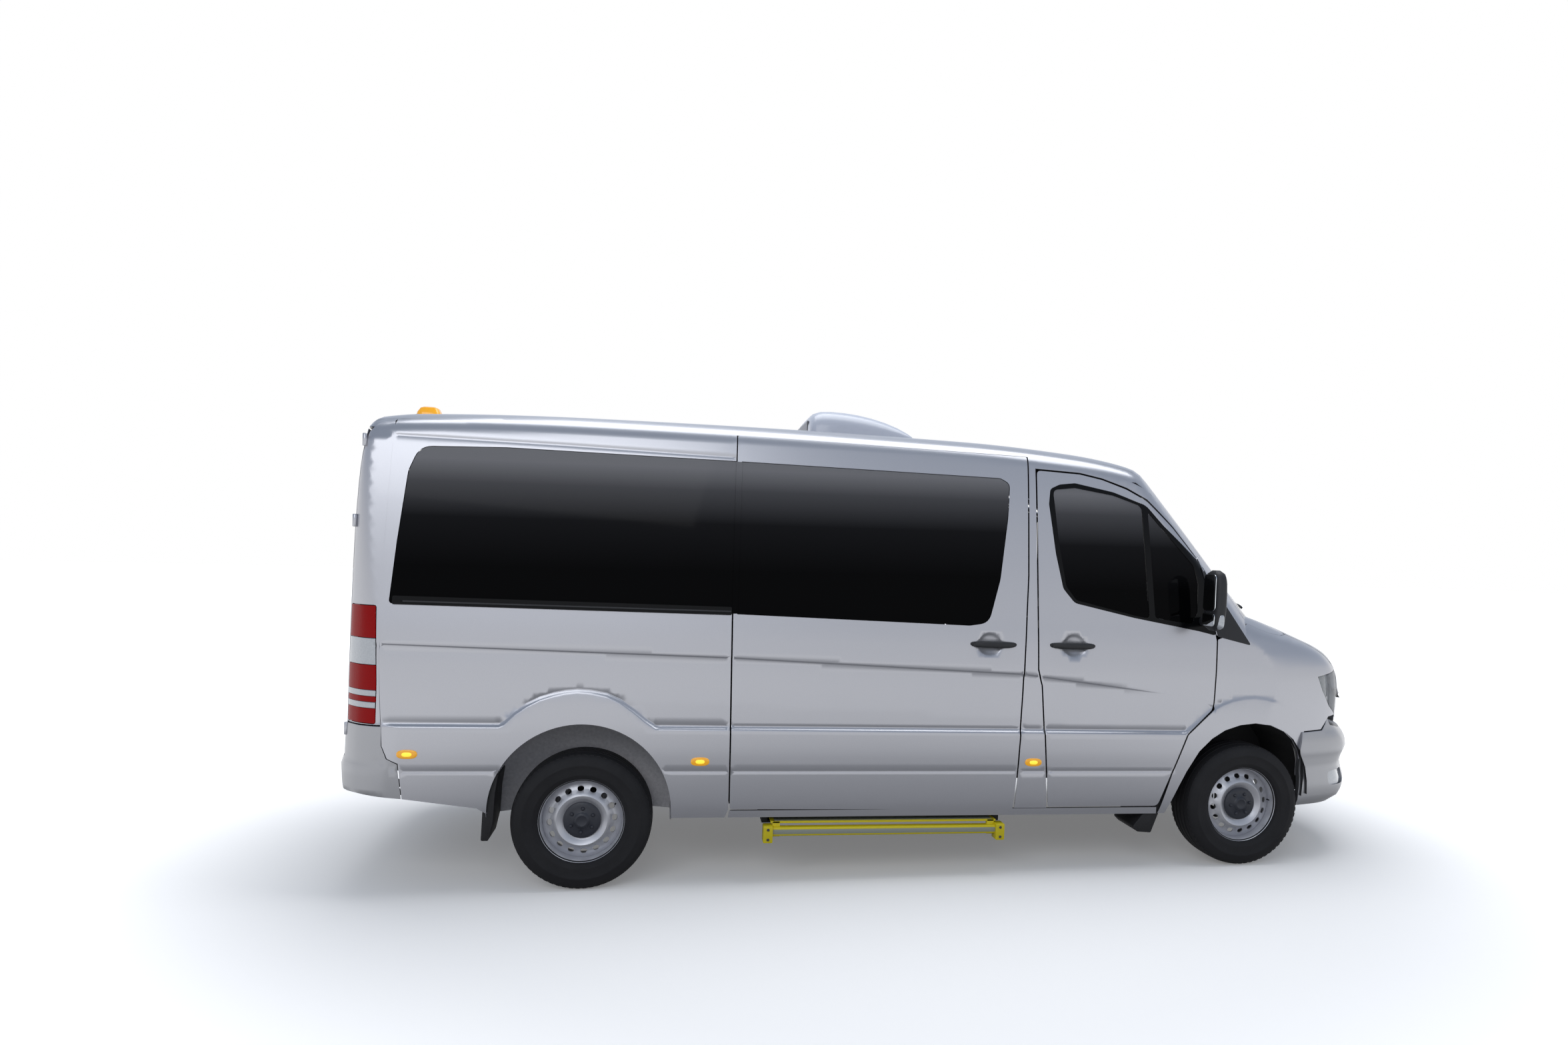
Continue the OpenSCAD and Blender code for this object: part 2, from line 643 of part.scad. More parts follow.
// Cross-member, lower arms and struts' towers carrying the front wheels
arm_ball_y = kingpin_y - 25;
module front_subframe() color("black") {
    raked() {
        difference() {
            block([front_wheel_bx - 150, front_wheel_bx + 150], [-400, 400], [330, 430]);
            // dip under the gearbox
            block([front_wheel_bx - 151, front_wheel_bx], [-130, 130], [372, 431]);
        }
        both_sides() block([front_wheel_bx - 60, front_wheel_bx + 60], [380, 450], [400, 480]);
    }
    both_sides() translate([front_axle_x, 0, 235]) rotate([-90, 0, 0])
        cylinder_pair(390, arm_ball_y - 60);
    both_sides() block([front_axle_x - 130, front_axle_x + 130], [340, 420], [215, 340]);
}
module cylinder_pair(y0, y1) { translate([0, 0, y0]) cylinder(h = y1 - y0, d = 56); }

hub_r = 42;
spin_gap = 8;
module knuckle(side) color("dimgray") mirror_if(side) {
    translate([front_axle_x, 0, tyre_r]) rotate([-90, 0, 0])
        translate([0, 0, kingpin_y - 40]) cylinder(h = track_half + 5 - kingpin_y + 40, r = 30);
    // boss about the kingpin axis
    translate([front_axle_x, kingpin_y, 215]) cylinder(h = 200, r = 28);
    block([front_axle_x - 32, front_axle_x + 32], [kingpin_y - 62, kingpin_y], [230, 425]);
    // strut
    translate([front_axle_x, kingpin_y - 40, 420]) cylinder(h = 160, r = 24);
}
module knuckle_right() knuckle(right);
module knuckle_left() knuckle(left);

// Live rear axle with leaf springs and the propeller shaft to the gearbox
module rear_axle() color("black") {
    translate([rear_axle_x, 0, tyre_r]) rotate([90, 0, 0])
        cylinder(h = 2 * track_half, d = 90, center = true);
    translate([rear_axle_x, 0, tyre_r]) sphere(d = 260);
    both_sides() block([rear_axle_x - 620, rear_axle_x + 620], [515, 585],
        [tyre_r + 40, tyre_r + 75]);
    both_sides() for (x = [-620, 560]) block([rear_axle_x + x, rear_axle_x + x + 60],
        [rail_y + rail_w + 1, 585], [tyre_r + 70, 575]);
    translate([rear_axle_x, 0, tyre_r + 20]) rotate([0, 90, 0])
        cylinder(h = gearbox_x - rear_axle_x - 17, d = 80);
}
gearbox_x = firewall_x - 520;    // rear end of the gearbox
module engine_block() color("gray") raked() {
    block([firewall_x + 60, firewall_x + 720], [-270, 270], [450, 1080]);
    block([gearbox_x, firewall_x + 61], [-120, 120], [380, 600]);
}
silencer_x = -900 + cab_dx;
module exhaust() color("gray") raked() {
    tail_x = rear_x + 673;
    front_pipe_x = firewall_x - 200;
    translate([tail_x, -300, 420]) rotate([0, 90, 0])
        cylinder(h = front_pipe_x - tail_x, d = 60);
    translate([silencer_x, -300, 378]) rotate([0, 90, 0]) cylinder(h = 700, d = 190);
    for (x = [silencer_x + 40, front_pipe_x - 300]) block([x, x + 40], [-rail_y - 1, -280],
        [430, 479]);
}
module fuel_tank() color("black") raked() {
    block([b_post_x - 741, b_post_x + 259], [rail_y + rail_w + 10, half_width - 120],
        [350, 590]);
}

module dashboard() color("dimgray") raked() {
    intersection() {
        saloon_hull(wall_t + 6);
        union() {
            along_y(moved([[0, 1000], [-320, 1040], [-360, 1180], [-330, 1300], [-200, 1350],
                [-60, 1352], [0, 1340]], firewall_x), -860, 860);
            block([firewall_x - 280, firewall_x], [-120, 120], [floor_z, 1040]);
        }
    }
    // steering column and wheel, for a driver on the left
    translate([firewall_x - 300, driver_y, 1180]) rotate([0, -62, 0]) {
        cylinder(h = 150, d = 50);
        translate([0, 0, 140]) rotate_extrude() translate([185, 0]) circle(d = 30);
        for (a = [0, 120, 240]) rotate([0, 0, a]) translate([0, -14, 128]) cube([186, 28, 22]);
        translate([0, 0, 120]) cylinder(h = 34, d = 120);
    }
}

driver_y = 440;
module seat(x, y, w, back_lean = 12) {
    translate([x, y, floor_z]) {
        translate([-220, -w / 2 + 40, 0]) cube([380, 0.55 * w, 260]);
        translate([-260, -w / 2, 255]) cube([500, w, 130]);
        translate([-200, -w / 2, 330]) rotate([0, -back_lean, 0]) translate([-110, 0, 0])
            cube([110, w, 640]);
        translate([-200, -130, 960]) rotate([0, -back_lean, 0]) translate([-220, 0, 0])
            cube([80, 260, 170]);
    }
}
module cab_seats() color("darkslateblue") raked() {
    seat(b_post_x + 359, driver_y, 500);
    seat(b_post_x + 359, -420, 860);
}
seat_pitch = 760;
module passenger_seats() color("darkslateblue") raked() {
    first_x = rear_x + 723;
    for (i = [0 : floor((b_post_x - 370 - first_x) / seat_pitch)]) {
        x = first_x + i * seat_pitch;
        seat(x, 420, 860);
        if (x < slide_rear_x - 300) seat(x, -420, 420);
    }
}

inner_step = 22;         // how far a door's inner part stays inside its skin's edge
module front_door(side) difference() {
    union() {
        intersection() { saloon_shell(0, 16); door_trim(side, 0); }
        intersection() { saloon_shell(15, wall_t); door_trim(side, inner_step); }
    }
    side_prism(side, front_window);
}
module door_trim(side, in) { side_prism(side, shrink(front_door_outline, in)); }
module front_door_right() color("silver") raked() front_door(right);
module front_door_left() color("silver") raked() front_door(left);
module front_door_window(side) intersection() {
    difference() { saloon_hull(2); saloon_hull(2 + glass_t); }
    side_prism(side, front_window);
}
module front_door_window_right() color("darkslategray") raked() front_door_window(right);
module front_door_window_left() color("darkslategray") raked() front_door_window(left);

mirror_y = half_width + 215;   // outer edge of a door mirror
module door_mirror(side) mirror_if(side) {
    difference() {
        along_y(moved([[1556, 1400], [1580, 1388], [1640, 1395], [1664, 1420], [1662, 1700],
            [1640, 1722], [1600, 1722], [1560, 1690]], cab_dx), half_width, mirror_y);
        block([1540 + cab_dx, 1566 + cab_dx], [half_width + 14, mirror_y - 15], [1404, 1690]);
    }
    difference() {
        block([1590 + cab_dx, 1650 + cab_dx], [half_width - 110, half_width + 10], [1400, 1470]);
        saloon_hull();
    }
}
module mirror_right() color("black") raked() door_mirror(right);
module mirror_left() color("black") raked() door_mirror(left);

// Strap hinges outside each rear door's outer edge: heights of their lower ends
hinge_z = [738, 1763, roof_z - 265];
hinge_h = 62;
hinge_axis = [rear_x + 101, rear_door_y + 16];
module rear_door(side) {
    difference() {
        intersection() {
            saloon_shell();
            side_block(side, rear_door_x, [3, rear_door_y], [rear_door_low, rear_door_high]);
        }
        rear_window_cut(side);
    }
    mirror_if(side) for (z = hinge_z) {
        translate([hinge_axis.x, hinge_axis.y, z]) cylinder(h = hinge_h, r = 11);
        block([hinge_axis.x - 11, hinge_axis.x + 21], [rear_door_y - 40, hinge_axis.y],
            [z + 6, z + hinge_h - 6]);
    }
}
module rear_window_cut(side) {
    side_block(side, rear_door_x, [90, rear_door_y - 90], [1420, roof_z - 295]);
}
module rear_door_right() color("silver") raked() rear_door(right);
module rear_door_left() color("silver") raked() rear_door(left);
module rear_door_window(side) intersection() {
    difference() { saloon_hull(2); saloon_hull(2 + glass_t); }
    rear_window_cut(side);
}
module rear_door_window_right() color("darkslategray") raked() rear_door_window(right);
module rear_door_window_left() color("darkslategray") raked() rear_door_window(left);

// Wheels: the tyre's and the rim's outlines, turned about the wheel's own axis
rim_half_w = 95;
disc_offset = 45;
hub_bore = 84;
stud_circle = 130;
stud_d = 15;
module wheel_place(x, side) {
    translate([x, side * track_half, tyre_r]) rotate([-90 * side, 0, 0]) children();
}
module tyre(x, side) color("black") wheel_place(x, side) rotate_extrude()
    polygon([[rim_r - 8, -rim_half_w - 2], [rim_r + 14, -rim_half_w - 8], [tyre_r - 60, -tyre_w / 2],
        [tyre_r - 25, -tyre_w / 2 + 5], [tyre_r - 5, -tyre_w / 2 + 28], [tyre_r, 0],
        [tyre_r - 5, tyre_w / 2 - 28], [tyre_r - 25, tyre_w / 2 - 5], [tyre_r - 60, tyre_w / 2],
        [rim_r + 14, rim_half_w + 8], [rim_r - 8, rim_half_w + 2], [rim_r - 8, rim_half_w - 8],
        [rim_r - 8, -rim_half_w + 8]]);
module rim(x, side) color("silver") wheel_place(x, side) difference() {
    rotate_extrude() polygon([[rim_r - 14, -rim_half_w], [rim_r - 8, -rim_half_w],
        [rim_r - 8, rim_half_w], [rim_r - 14, rim_half_w], [rim_r - 20, rim_half_w - 12],
        [rim_r - 30, disc_offset + 26], [rim_r - 50, disc_offset + 14], [110, disc_offset + 10],
        [95, disc_offset + 20], [hub_bore / 2, disc_offset + 20], [hub_bore / 2, disc_offset],
        [100, disc_offset], [rim_r - 40, disc_offset - 2], [rim_r - 22, 0],
        [rim_r - 20, -rim_half_w + 12]]);
    for (i = [0 : 5]) rotate([0, 0, i * 60]) translate([stud_circle / 2, 0, 0])
        cylinder(h = 100, d = stud_d);
    for (i = [0 : 15]) rotate([0, 0, i * 22.5]) translate([150, 0, -20]) cylinder(h = 120, d = 26);
}
module tyre_front_right() tyre(front_axle_x, right);
module tyre_front_left() tyre(front_axle_x, left);
module tyre_rear_right() tyre(rear_axle_x, right);
module tyre_rear_left() tyre(rear_axle_x, left);
module rim_front_right() rim(front_axle_x, right);
module rim_front_left() rim(front_axle_x, left);
module rim_rear_right() rim(rear_axle_x, right);
module rim_rear_left() rim(rear_axle_x, left);

floor_pan();
chassis_frame();
right_side_panel();
left_side_panel();
roof_panel();
rear_door_frame();
windscreen_frame();
front_wings();
front_bumper();
grille_panel();
headlamps();
windscreen();
side_windows();
sliding_door();
sliding_door_rail();
tail_lamps();
rear_bumper();
mud_flaps();
roof_air_conditioner();
amber_beacon();
side_step_housing();
front_subframe();
rear_axle();
engine_block();
exhaust();
fuel_tank();
dashboard();
cab_seats();
passenger_seats();
front_door_right();
front_door_left();
front_door_window_right();
front_door_window_left();
mirror_right();
mirror_left();
rear_door_right();
rear_door_left();
rear_door_window_right();
rear_door_window_left();
bonnet();
side_step_tread();
knuckle_right();
knuckle_left();
tyre_front_right();
tyre_front_left();
tyre_rear_right();
tyre_rear_left();
rim_front_right();
rim_front_left();
rim_rear_right();
rim_rear_left();
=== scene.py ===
import math

import bmesh
import bpy
import numpy as np
from mathutils import Matrix, Vector
from mathutils.geometry import delaunay_2d_cdt


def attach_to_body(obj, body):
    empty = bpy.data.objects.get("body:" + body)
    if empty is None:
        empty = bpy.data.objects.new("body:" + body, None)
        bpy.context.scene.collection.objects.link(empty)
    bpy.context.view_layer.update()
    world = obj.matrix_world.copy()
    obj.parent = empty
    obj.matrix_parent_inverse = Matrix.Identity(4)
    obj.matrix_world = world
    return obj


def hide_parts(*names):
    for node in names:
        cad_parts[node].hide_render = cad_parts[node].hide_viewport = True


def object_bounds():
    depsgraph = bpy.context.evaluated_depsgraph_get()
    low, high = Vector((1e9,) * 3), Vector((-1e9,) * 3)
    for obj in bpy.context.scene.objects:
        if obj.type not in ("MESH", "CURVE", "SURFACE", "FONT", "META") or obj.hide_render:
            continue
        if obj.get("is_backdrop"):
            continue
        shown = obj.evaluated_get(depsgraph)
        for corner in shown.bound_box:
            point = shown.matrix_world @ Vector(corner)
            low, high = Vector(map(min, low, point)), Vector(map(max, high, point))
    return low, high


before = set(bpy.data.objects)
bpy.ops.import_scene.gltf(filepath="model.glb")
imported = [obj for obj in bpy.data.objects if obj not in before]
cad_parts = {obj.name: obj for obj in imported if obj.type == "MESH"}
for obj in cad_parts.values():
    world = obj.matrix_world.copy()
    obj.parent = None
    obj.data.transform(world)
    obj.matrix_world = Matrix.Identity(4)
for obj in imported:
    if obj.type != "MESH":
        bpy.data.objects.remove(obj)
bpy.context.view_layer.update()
scene = bpy.context.scene
scene.view_settings.view_transform = "Standard"
print("frame loaded")

# Camera

camera = {"place": (-1.277, -6.103, 1.745), "yaw": 10.89, "pitch": -1.96, "roll": 1.44,
          "lens": 22.81, "shift": (-0.0527, 0.0408)}
yaw, pitch, roll = (math.radians(camera[k]) for k in ("yaw", "pitch", "roll"))
ahead = Vector((math.sin(yaw) * math.cos(pitch), math.cos(yaw) * math.cos(pitch), math.sin(pitch)))
across = Vector((math.cos(yaw), -math.sin(yaw), 0))
above = across.cross(ahead)
camAcross = across * math.cos(roll) + above * math.sin(roll)
camAbove = above * math.cos(roll) - across * math.sin(roll)
camData = bpy.data.cameras.new("camera")
camData.lens, camData.sensor_width = camera["lens"], 36
camData.shift_x, camData.shift_y = camera["shift"]
camData.clip_end = 200
cam = bpy.data.objects.new("camera", camData)
scene.collection.objects.link(cam)
cam.matrix_world = Matrix.Translation(camera["place"]) @ Matrix(
    (camAcross, camAbove, -ahead)).transposed().to_4x4()
scene.camera = cam

# Materials


def srgb(code):
    parts = [int(code[i:i + 2], 16) / 255 for i in (0, 2, 4)]
    return tuple(p / 12.92 if p < 0.04045 else ((p + 0.055) / 1.055) ** 2.4 for p in parts) + (1,)


def addNode(tree, kind, links=None, **settings):
    n = tree.nodes.new(kind)
    for key, value in settings.items():
        if hasattr(n, key):
            setattr(n, key, value)
        else:
            n.inputs[key.replace("_", " ")].default_value = value
    for key, source in (links or {}).items():
        tree.links.new(source, n.inputs[key])
    return n


def finish(name, colour, other=None, grainMm=3.0, bumpMm=0.0, bumpSize=4.0, rough=0.5, spread=0.06,
           **sockets):
    # a surface whose colour wanders between two tones, with a grain and a bump of real sizes
    m = bpy.data.materials.new(name)
    m.use_nodes = True
    t = m.node_tree
    shader = t.nodes["Principled BSDF"]
    for key, value in sockets.items():
        shader.inputs[key.replace("_", " ")].default_value = value
    place = addNode(t, "ShaderNodeTexCoord").outputs["Object"]
    grain = addNode(t, "ShaderNodeTexNoise", {"Vector": place}, Scale=1000 / grainMm, Detail=3.0)
    tones = addNode(t, "ShaderNodeMix", {"Factor": grain.outputs["Fac"]}, data_type="RGBA")
    tones.inputs["A"].default_value = srgb(colour)
    tones.inputs["B"].default_value = srgb(other or colour)
    t.links.new(tones.outputs["Result"], shader.inputs["Base Color"])
    patch = addNode(t, "ShaderNodeTexNoise", {"Vector": place}, Scale=7.0, Detail=4.0)
    worn = addNode(t, "ShaderNodeMapRange", {"Value": patch.outputs["Fac"]})
    worn.inputs["To Min"].default_value = max(rough - spread, 0)
    worn.inputs["To Max"].default_value = min(rough + spread, 1)
    t.links.new(worn.outputs["Result"], shader.inputs["Roughness"])
    if bumpMm:
        skin = addNode(t, "ShaderNodeTexNoise", {"Vector": place}, Scale=1000 / bumpSize, Detail=2.0)
        bump = addNode(t, "ShaderNodeBump", {"Height": skin.outputs["Fac"]}, Distance=bumpMm / 1000,
                       Strength=1.0)
        t.links.new(bump.outputs["Normal"], shader.inputs["Normal"])
    return m


# sprayed metallic lacquer: flakes 0.1 mm across, drawn 2.5 mm so that they show, under clear coat
silverPaint = finish("silverMetallicLacquer", "BDBEC3", "B0B1B7", grainMm=2.5, rough=0.3, spread=0.01,
                     Metallic=0.8, Coat_Weight=0.3, Coat_Roughness=0.05)
# the same lacquer on moulded bumpers, a shade flatter
bumperPaint = finish("silverLacquerOnPlastic", "A8A9AD", "9FA0A4", grainMm=2.5, rough=0.34, spread=0.02,
                     Metallic=0.75, Coat_Weight=0.5, Coat_Roughness=0.06)
# grained polypropylene: matt black with a leather-like grain of about 1 mm
blackPlastic = finish("blackPolypropylene", "1A1B1E", "232428", grainMm=1.2, bumpMm=0.12, bumpSize=1.4,
                      rough=0.55)
# smooth glossy moulding of window frames and the sail in front of the door window
glossBlack = finish("blackAcrylicTrim", "07080A", "0B0C0E", grainMm=8, rough=0.2, spread=0.05, IOR=1.25)
# extruded rubber seal
rubberSeal = finish("rubberSeal", "0C0C0D", "141415", grainMm=2, rough=0.75)
# tyre rubber: dark grey, dusty on the sidewall
tyreRubber = finish("tyreRubber", "0F0F12", "17171B", grainMm=14, bumpMm=0.25, bumpSize=1.6, rough=0.78,
                    spread=0.1)
# pressed steel wheel, baked silver enamel
wheelEnamel = finish("silverWheelEnamel", "D2D3D8", "C6C7CC", grainMm=3, bumpMm=0.05, bumpSize=6,
                     rough=0.4, Metallic=0.6, Coat_Weight=0.25)
# moulded wheel cap: satin charcoal
capPlastic = finish("charcoalCapPlastic", "2C2F38", "33363F", grainMm=2, bumpMm=0.05, bumpSize=1.5,
                    rough=0.42)
# steel sheet under seam sealer and stone-chip coating: mottled pale grey
archSteel = finish("sealedGalvanisedSteel", "B4B3B7", "E4E3E6", grainMm=16, bumpMm=1.2, bumpSize=9,
                   rough=0.7)
# underbody wax over black paint
underbodyBlack = finish("underbodyWax", "131315", "1F1F22", grainMm=20, bumpMm=0.6, bumpSize=8,
                        rough=0.66)
# woven and foamed headlining, pale warm grey
liningFabric = finish("liningFabric", "8D8B88", "9A9894", grainMm=3, bumpMm=0.3, bumpSize=2.5,
                      rough=0.9, Sheen_Weight=0.2)
# cast iron and aluminium of the running gear
castMetal = finish("castIron", "4A4A4C", "5C5C5E", grainMm=9, bumpMm=0.4, bumpSize=3, rough=0.55,
                   Metallic=0.7)
# glass-reinforced gelcoat of the roof pod: pale, faintly blue
gelcoat = finish("whiteGelcoat", "C6CBD8", "BFC5D2", grainMm=30, bumpMm=0.1, bumpSize=30, rough=0.32,
                 Coat_Weight=0.4)
# powder-coated safety yellow
yellowCoat = finish("yellowPowderCoat", "F2E128", "EAD61E", grainMm=5, bumpMm=0.12, bumpSize=2,
                    rough=0.42)
# pale glass-fibre grip strip with grit
gripStrip = finish("paleGripStrip", "B9BDB0", "8F948A", grainMm=2.2, bumpMm=0.5, bumpSize=2, rough=0.8)
# polycarbonate lenses: red, amber and clear, glossy with ribs behind
redLens = finish("redLens", "8E0408", "6A0205", grainMm=6, bumpMm=0.5, bumpSize=7, rough=0.12,
                 spread=0.03,
                 IOR=1.2, Emission_Strength=0.22, Emission_Color=srgb("C1060C"))
clearLens = finish("clearLens", "D4D8DC", "B2B7BE", grainMm=8, bumpMm=0.6, bumpSize=8, rough=0.1,
                   spread=0.03, Coat_Weight=1.0, Metallic=0.25)
amberLens = finish("amberLens", "F8B80C", "F0A004", grainMm=6, bumpMm=0.4, bumpSize=6, rough=0.14,
                   spread=0.03, Coat_Weight=0.8, Emission_Strength=0.35, Emission_Color=srgb("FFB000"))
# the bulb behind the amber: a paler, brighter yellow
amberCore = finish("amberCore", "FFF07A", "FFE640", grainMm=4, rough=0.2, Emission_Strength=0.8,
                   Emission_Color=srgb("FFE030"))
# vapour-plated reflector behind a clear lamp cover: a grey mirror, mottled by its facets
reflector = finish("lampReflector", "8E918F", "5E6262", grainMm=12, rough=0.12, spread=0.04,
                   Metallic=0.95)
# clear moulded polycarbonate: nearly unseen but for its highlight
lampCover = finish("lampCover", "E9EDF2", grainMm=9, rough=0.03, spread=0.01, Coat_Weight=1.0,
                   Alpha=0.22)
# woven seat cloth: dark blue-grey, soft at grazing angles
seatCloth = finish("seatCloth", "2B3038", "39404B", grainMm=2.6, bumpMm=0.5, bumpSize=1.8, rough=0.92,
                   Sheen_Weight=0.35)
# flecked vinyl flooring: matt mid grey
floorVinyl = finish("floorVinyl", "3B3D41", "515358", grainMm=4, bumpMm=0.2, bumpSize=3, rough=0.6)
# silvered glass: a clean mirror
mirrorGlass = finish("silveredMirror", "C8CCD0", "C4C8CC", grainMm=80, rough=0.03, spread=0.01,
                     Metallic=1.0)
# laminated windscreen glass: half clear, dark inside, one sharp highlight
screenGlass = finish("laminatedScreenGlass", "0B1013", "0D1215", grainMm=60, rough=0.03, spread=0.01,
                     Coat_Weight=1.0, Alpha=0.5)
# moulded black behind the bars: satin, no colour of its own
grilleDark = finish("grilleBlack", "17181A", "1F2023", grainMm=2, rough=0.4)


def tintedGlassWithPaintedReflection(name, lowZ, highZ, alpha):
    # dark privacy glass with a painted reflection: a grey band at the top, painted in for the bright
    # surroundings reflected there, melts into the glass's own near-black lower down
    m = finish(name, "050506", "060607", grainMm=60, rough=0.05, spread=0.015, IOR=1.12, Alpha=alpha)
    t = m.node_tree
    shader = t.nodes["Principled BSDF"]
    place = addNode(t, "ShaderNodeTexCoord").outputs["Object"]
    height = addNode(t, "ShaderNodeSeparateXYZ", {"Vector": place}).outputs["Z"]
    # painted reflection: the base colour grows paler the higher the glass sits
    ramp = addNode(t, "ShaderNodeMapRange", {"Value": height}, From_Min=lowZ, From_Max=highZ)
    tone = addNode(t, "ShaderNodeValToRGB", {"Fac": ramp.outputs["Result"]})
    stops = tone.color_ramp.elements
    stops[0].position, stops[0].color = 0.0, srgb("040405")
    stops[1].position, stops[1].color = 1.0, srgb("8C8C8F")
    for where, code in ((0.3, "060607"), (0.62, "1E1E20"), (0.85, "59595C")):
        e = stops.new(where)
        e.color = srgb(code)
    t.links.new(tone.outputs["Color"], shader.inputs["Base Color"])
    return m


saloonGlass = tintedGlassWithPaintedReflection("privacyGlassPaintedReflection", 1.40, 2.16, 0.996)
doorGlass = tintedGlassWithPaintedReflection("doorPrivacyGlassPaintedReflection", 1.34, 2.10, 0.99)
print("materials made")

# Shape of the body. Everything below is in millimetres on the level body, and place() pitches it

shape = {"rake": 0.93, "frontX": 2951.8, "rearX": -2972.7, "halfWidth": 990, "wallT": 34,
         "lean": 42.2, "screenFar": 2612, "screenBow": 3.2e-7}
frontX, rearX = shape["frontX"], shape["rearX"]
lean = math.radians(shape["lean"])
screenOut = np.array([math.cos(lean), 0, math.sin(lean)])
screenUp = np.array([-math.sin(lean), 0, math.cos(lean)])
rake = math.radians(shape["rake"])


def place(p):
    p = np.asarray(p, float)
    x = p[..., 0] * math.cos(rake) + p[..., 2] * math.sin(rake)
    z = p[..., 2] * math.cos(rake) - p[..., 0] * math.sin(rake)
    return np.stack([x, p[..., 1], z], -1) / 1000


def curve(points):
    # smooth curve through points, without overshoot
    xs, ys = (np.array(v, float) for v in zip(*points))
    h, d = np.diff(xs), np.diff(ys) / np.diff(xs)
    m = np.zeros(len(xs))
    m[0], m[-1] = d[0], d[-1]
    for i in range(1, len(xs) - 1):
        if d[i - 1] * d[i] > 0:
            w1, w2 = 2 * h[i] + h[i - 1], h[i] + 2 * h[i - 1]
            m[i] = (w1 + w2) / (w1 / d[i - 1] + w2 / d[i])

    def at(x):
        x = np.asarray(x, float)
        i = np.clip(np.searchsorted(xs, x) - 1, 0, len(h) - 1)
        t = np.clip((x - xs[i]) / h[i], 0, 1)
        y = ((1 + 2 * t) * (1 - t) ** 2 * ys[i] + t * (1 - t) ** 2 * h[i] * m[i]
             + t * t * (3 - 2 * t) * ys[i + 1] + t * t * (t - 1) * h[i] * m[i + 1])
        return y + np.minimum(x - xs[0], 0) * m[0] + np.maximum(x - xs[-1], 0) * m[-1]
    return at


lowerHalf = curve([(240, 925), (300, 949), (336, 961), (400, 974), (500, 981), (583, 984.5), (700, 988),
                   (790, 988.5), (900, 985), (1000, 977), (1100, 966)])
upperHalf = curve([(500, 971), (860, 973), (1000, 973.5), (1100, 972), (1250, 962), (1420, 944),
                   (1700, 915), (2000, 881), (2170, 858), (2290, 838), (2420, 808)])
crownDrop = curve([(0, 0), (250, 3), (450, 10), (600, 22), (700, 40), (790, 72), (860, 125),
                   (990, 300)])
roofTop = curve([(rearX + 60, 2334), (rearX + 193, 2360), (rearX + 351, 2382), (rearX + 1250, 2416),
                 (-700, 2424), (278, 2416), (905, 2384), (1160, 2352), (1400, 2290), (1700, 2160)])
rearPlan = curve([(0, 0), (400, 12), (800, 66), (915, 146), (968, 240), (1010, 420)])
rearProfile = curve([(300, 26), (1000, 28), (1660, 38), (2000, 54), (2240, 88), (2310, 120),
                     (2400, 190)])
noseProfile = curve([(300, -10), (760, -9), (960, -2), (1090, -13), (1172, -46), (1232, -100),
                     (1300, -200)])
bonnetCentre = curve([(1700, 1530), (2262, 1411), (2480, 1351), (2640, 1291), (2747, 1231),
                      (2817, 1170),
                      (2862, 1088), (2900, 950)])
bonnetFall = curve([(0, 0), (500, 30), (760, 78), (850, 118), (930, 180), (985, 300), (1010, 420)])
bumperProfile = curve([(330, -250), (379, -72), (415, -24), (478, -10), (540, -26), (590, -40),
                       (640, -26), (690, -3), (735, -12), (770, -34), (800, -62), (840, -90)])


def smooth(t):
    t = np.clip(t, 0, 1)
    return t * t * (3 - 2 * t)


def most(a, b, k):
    # larger of two distances, rounded where they meet
    h = np.clip(0.5 + 0.5 * (a - b) / k, 0, 1)
    return b + (a - b) * h + k * h * (1 - h)


ledgeLine = np.array([(-3100, 801), (-2135, 801), (-2110, 812), (-2060, 862), (-2005, 902),
                      (-1945, 934),
                      (-1880, 956), (-1825, 969), (-1766, 976), (-1700, 972), (-1622, 957),
                      (-1555, 926),
                      (-1489, 880), (-1430, 832), (-1376, 796), (-1340, 797), (600, 793), (1545, 791),
                      (1600, 834), (1711, 925), (1770, 955), (1831, 976), (1900, 989), (1970, 994),
                      (2045, 986), (2116, 969), (2217, 917), (2321, 835), (2380, 806), (3100, 800)],
                      float)
waistLine = np.array([(-3100, 1222), (-2701, 1205), (-1008, 1173), (580, 1116), (1461, 1016),
                      (1700, 988)], float)
seamLine = np.array([(-3100, 2219), (-2689, 2222), (-1870, 2219), (-1006, 2207)], float)
wingCrease = np.array([(1990, 1275), (2105, 1245), (2250, 1199), (2420, 1146)], float)
rearArch = {"x": -1735, "z": 373, "r": 449, "mouldClear": 380}
frontArch = {"x": 1943, "z": 372, "wallY": 522}
cupPlaces = {"sliding": (380, 1271), "front": (865, 1274)}
features = {"waistStep": 7.5, "mouldDepth": 3.0, "cupR": 61, "cupDepth": 15, "seamDepth": 3.5}


def onLine(line, x):
    return np.interp(x, line[:, 0], line[:, 1])


def slopeOf(line, x):
    return (onLine(line, x + 8) - onLine(line, x - 8)) / 16


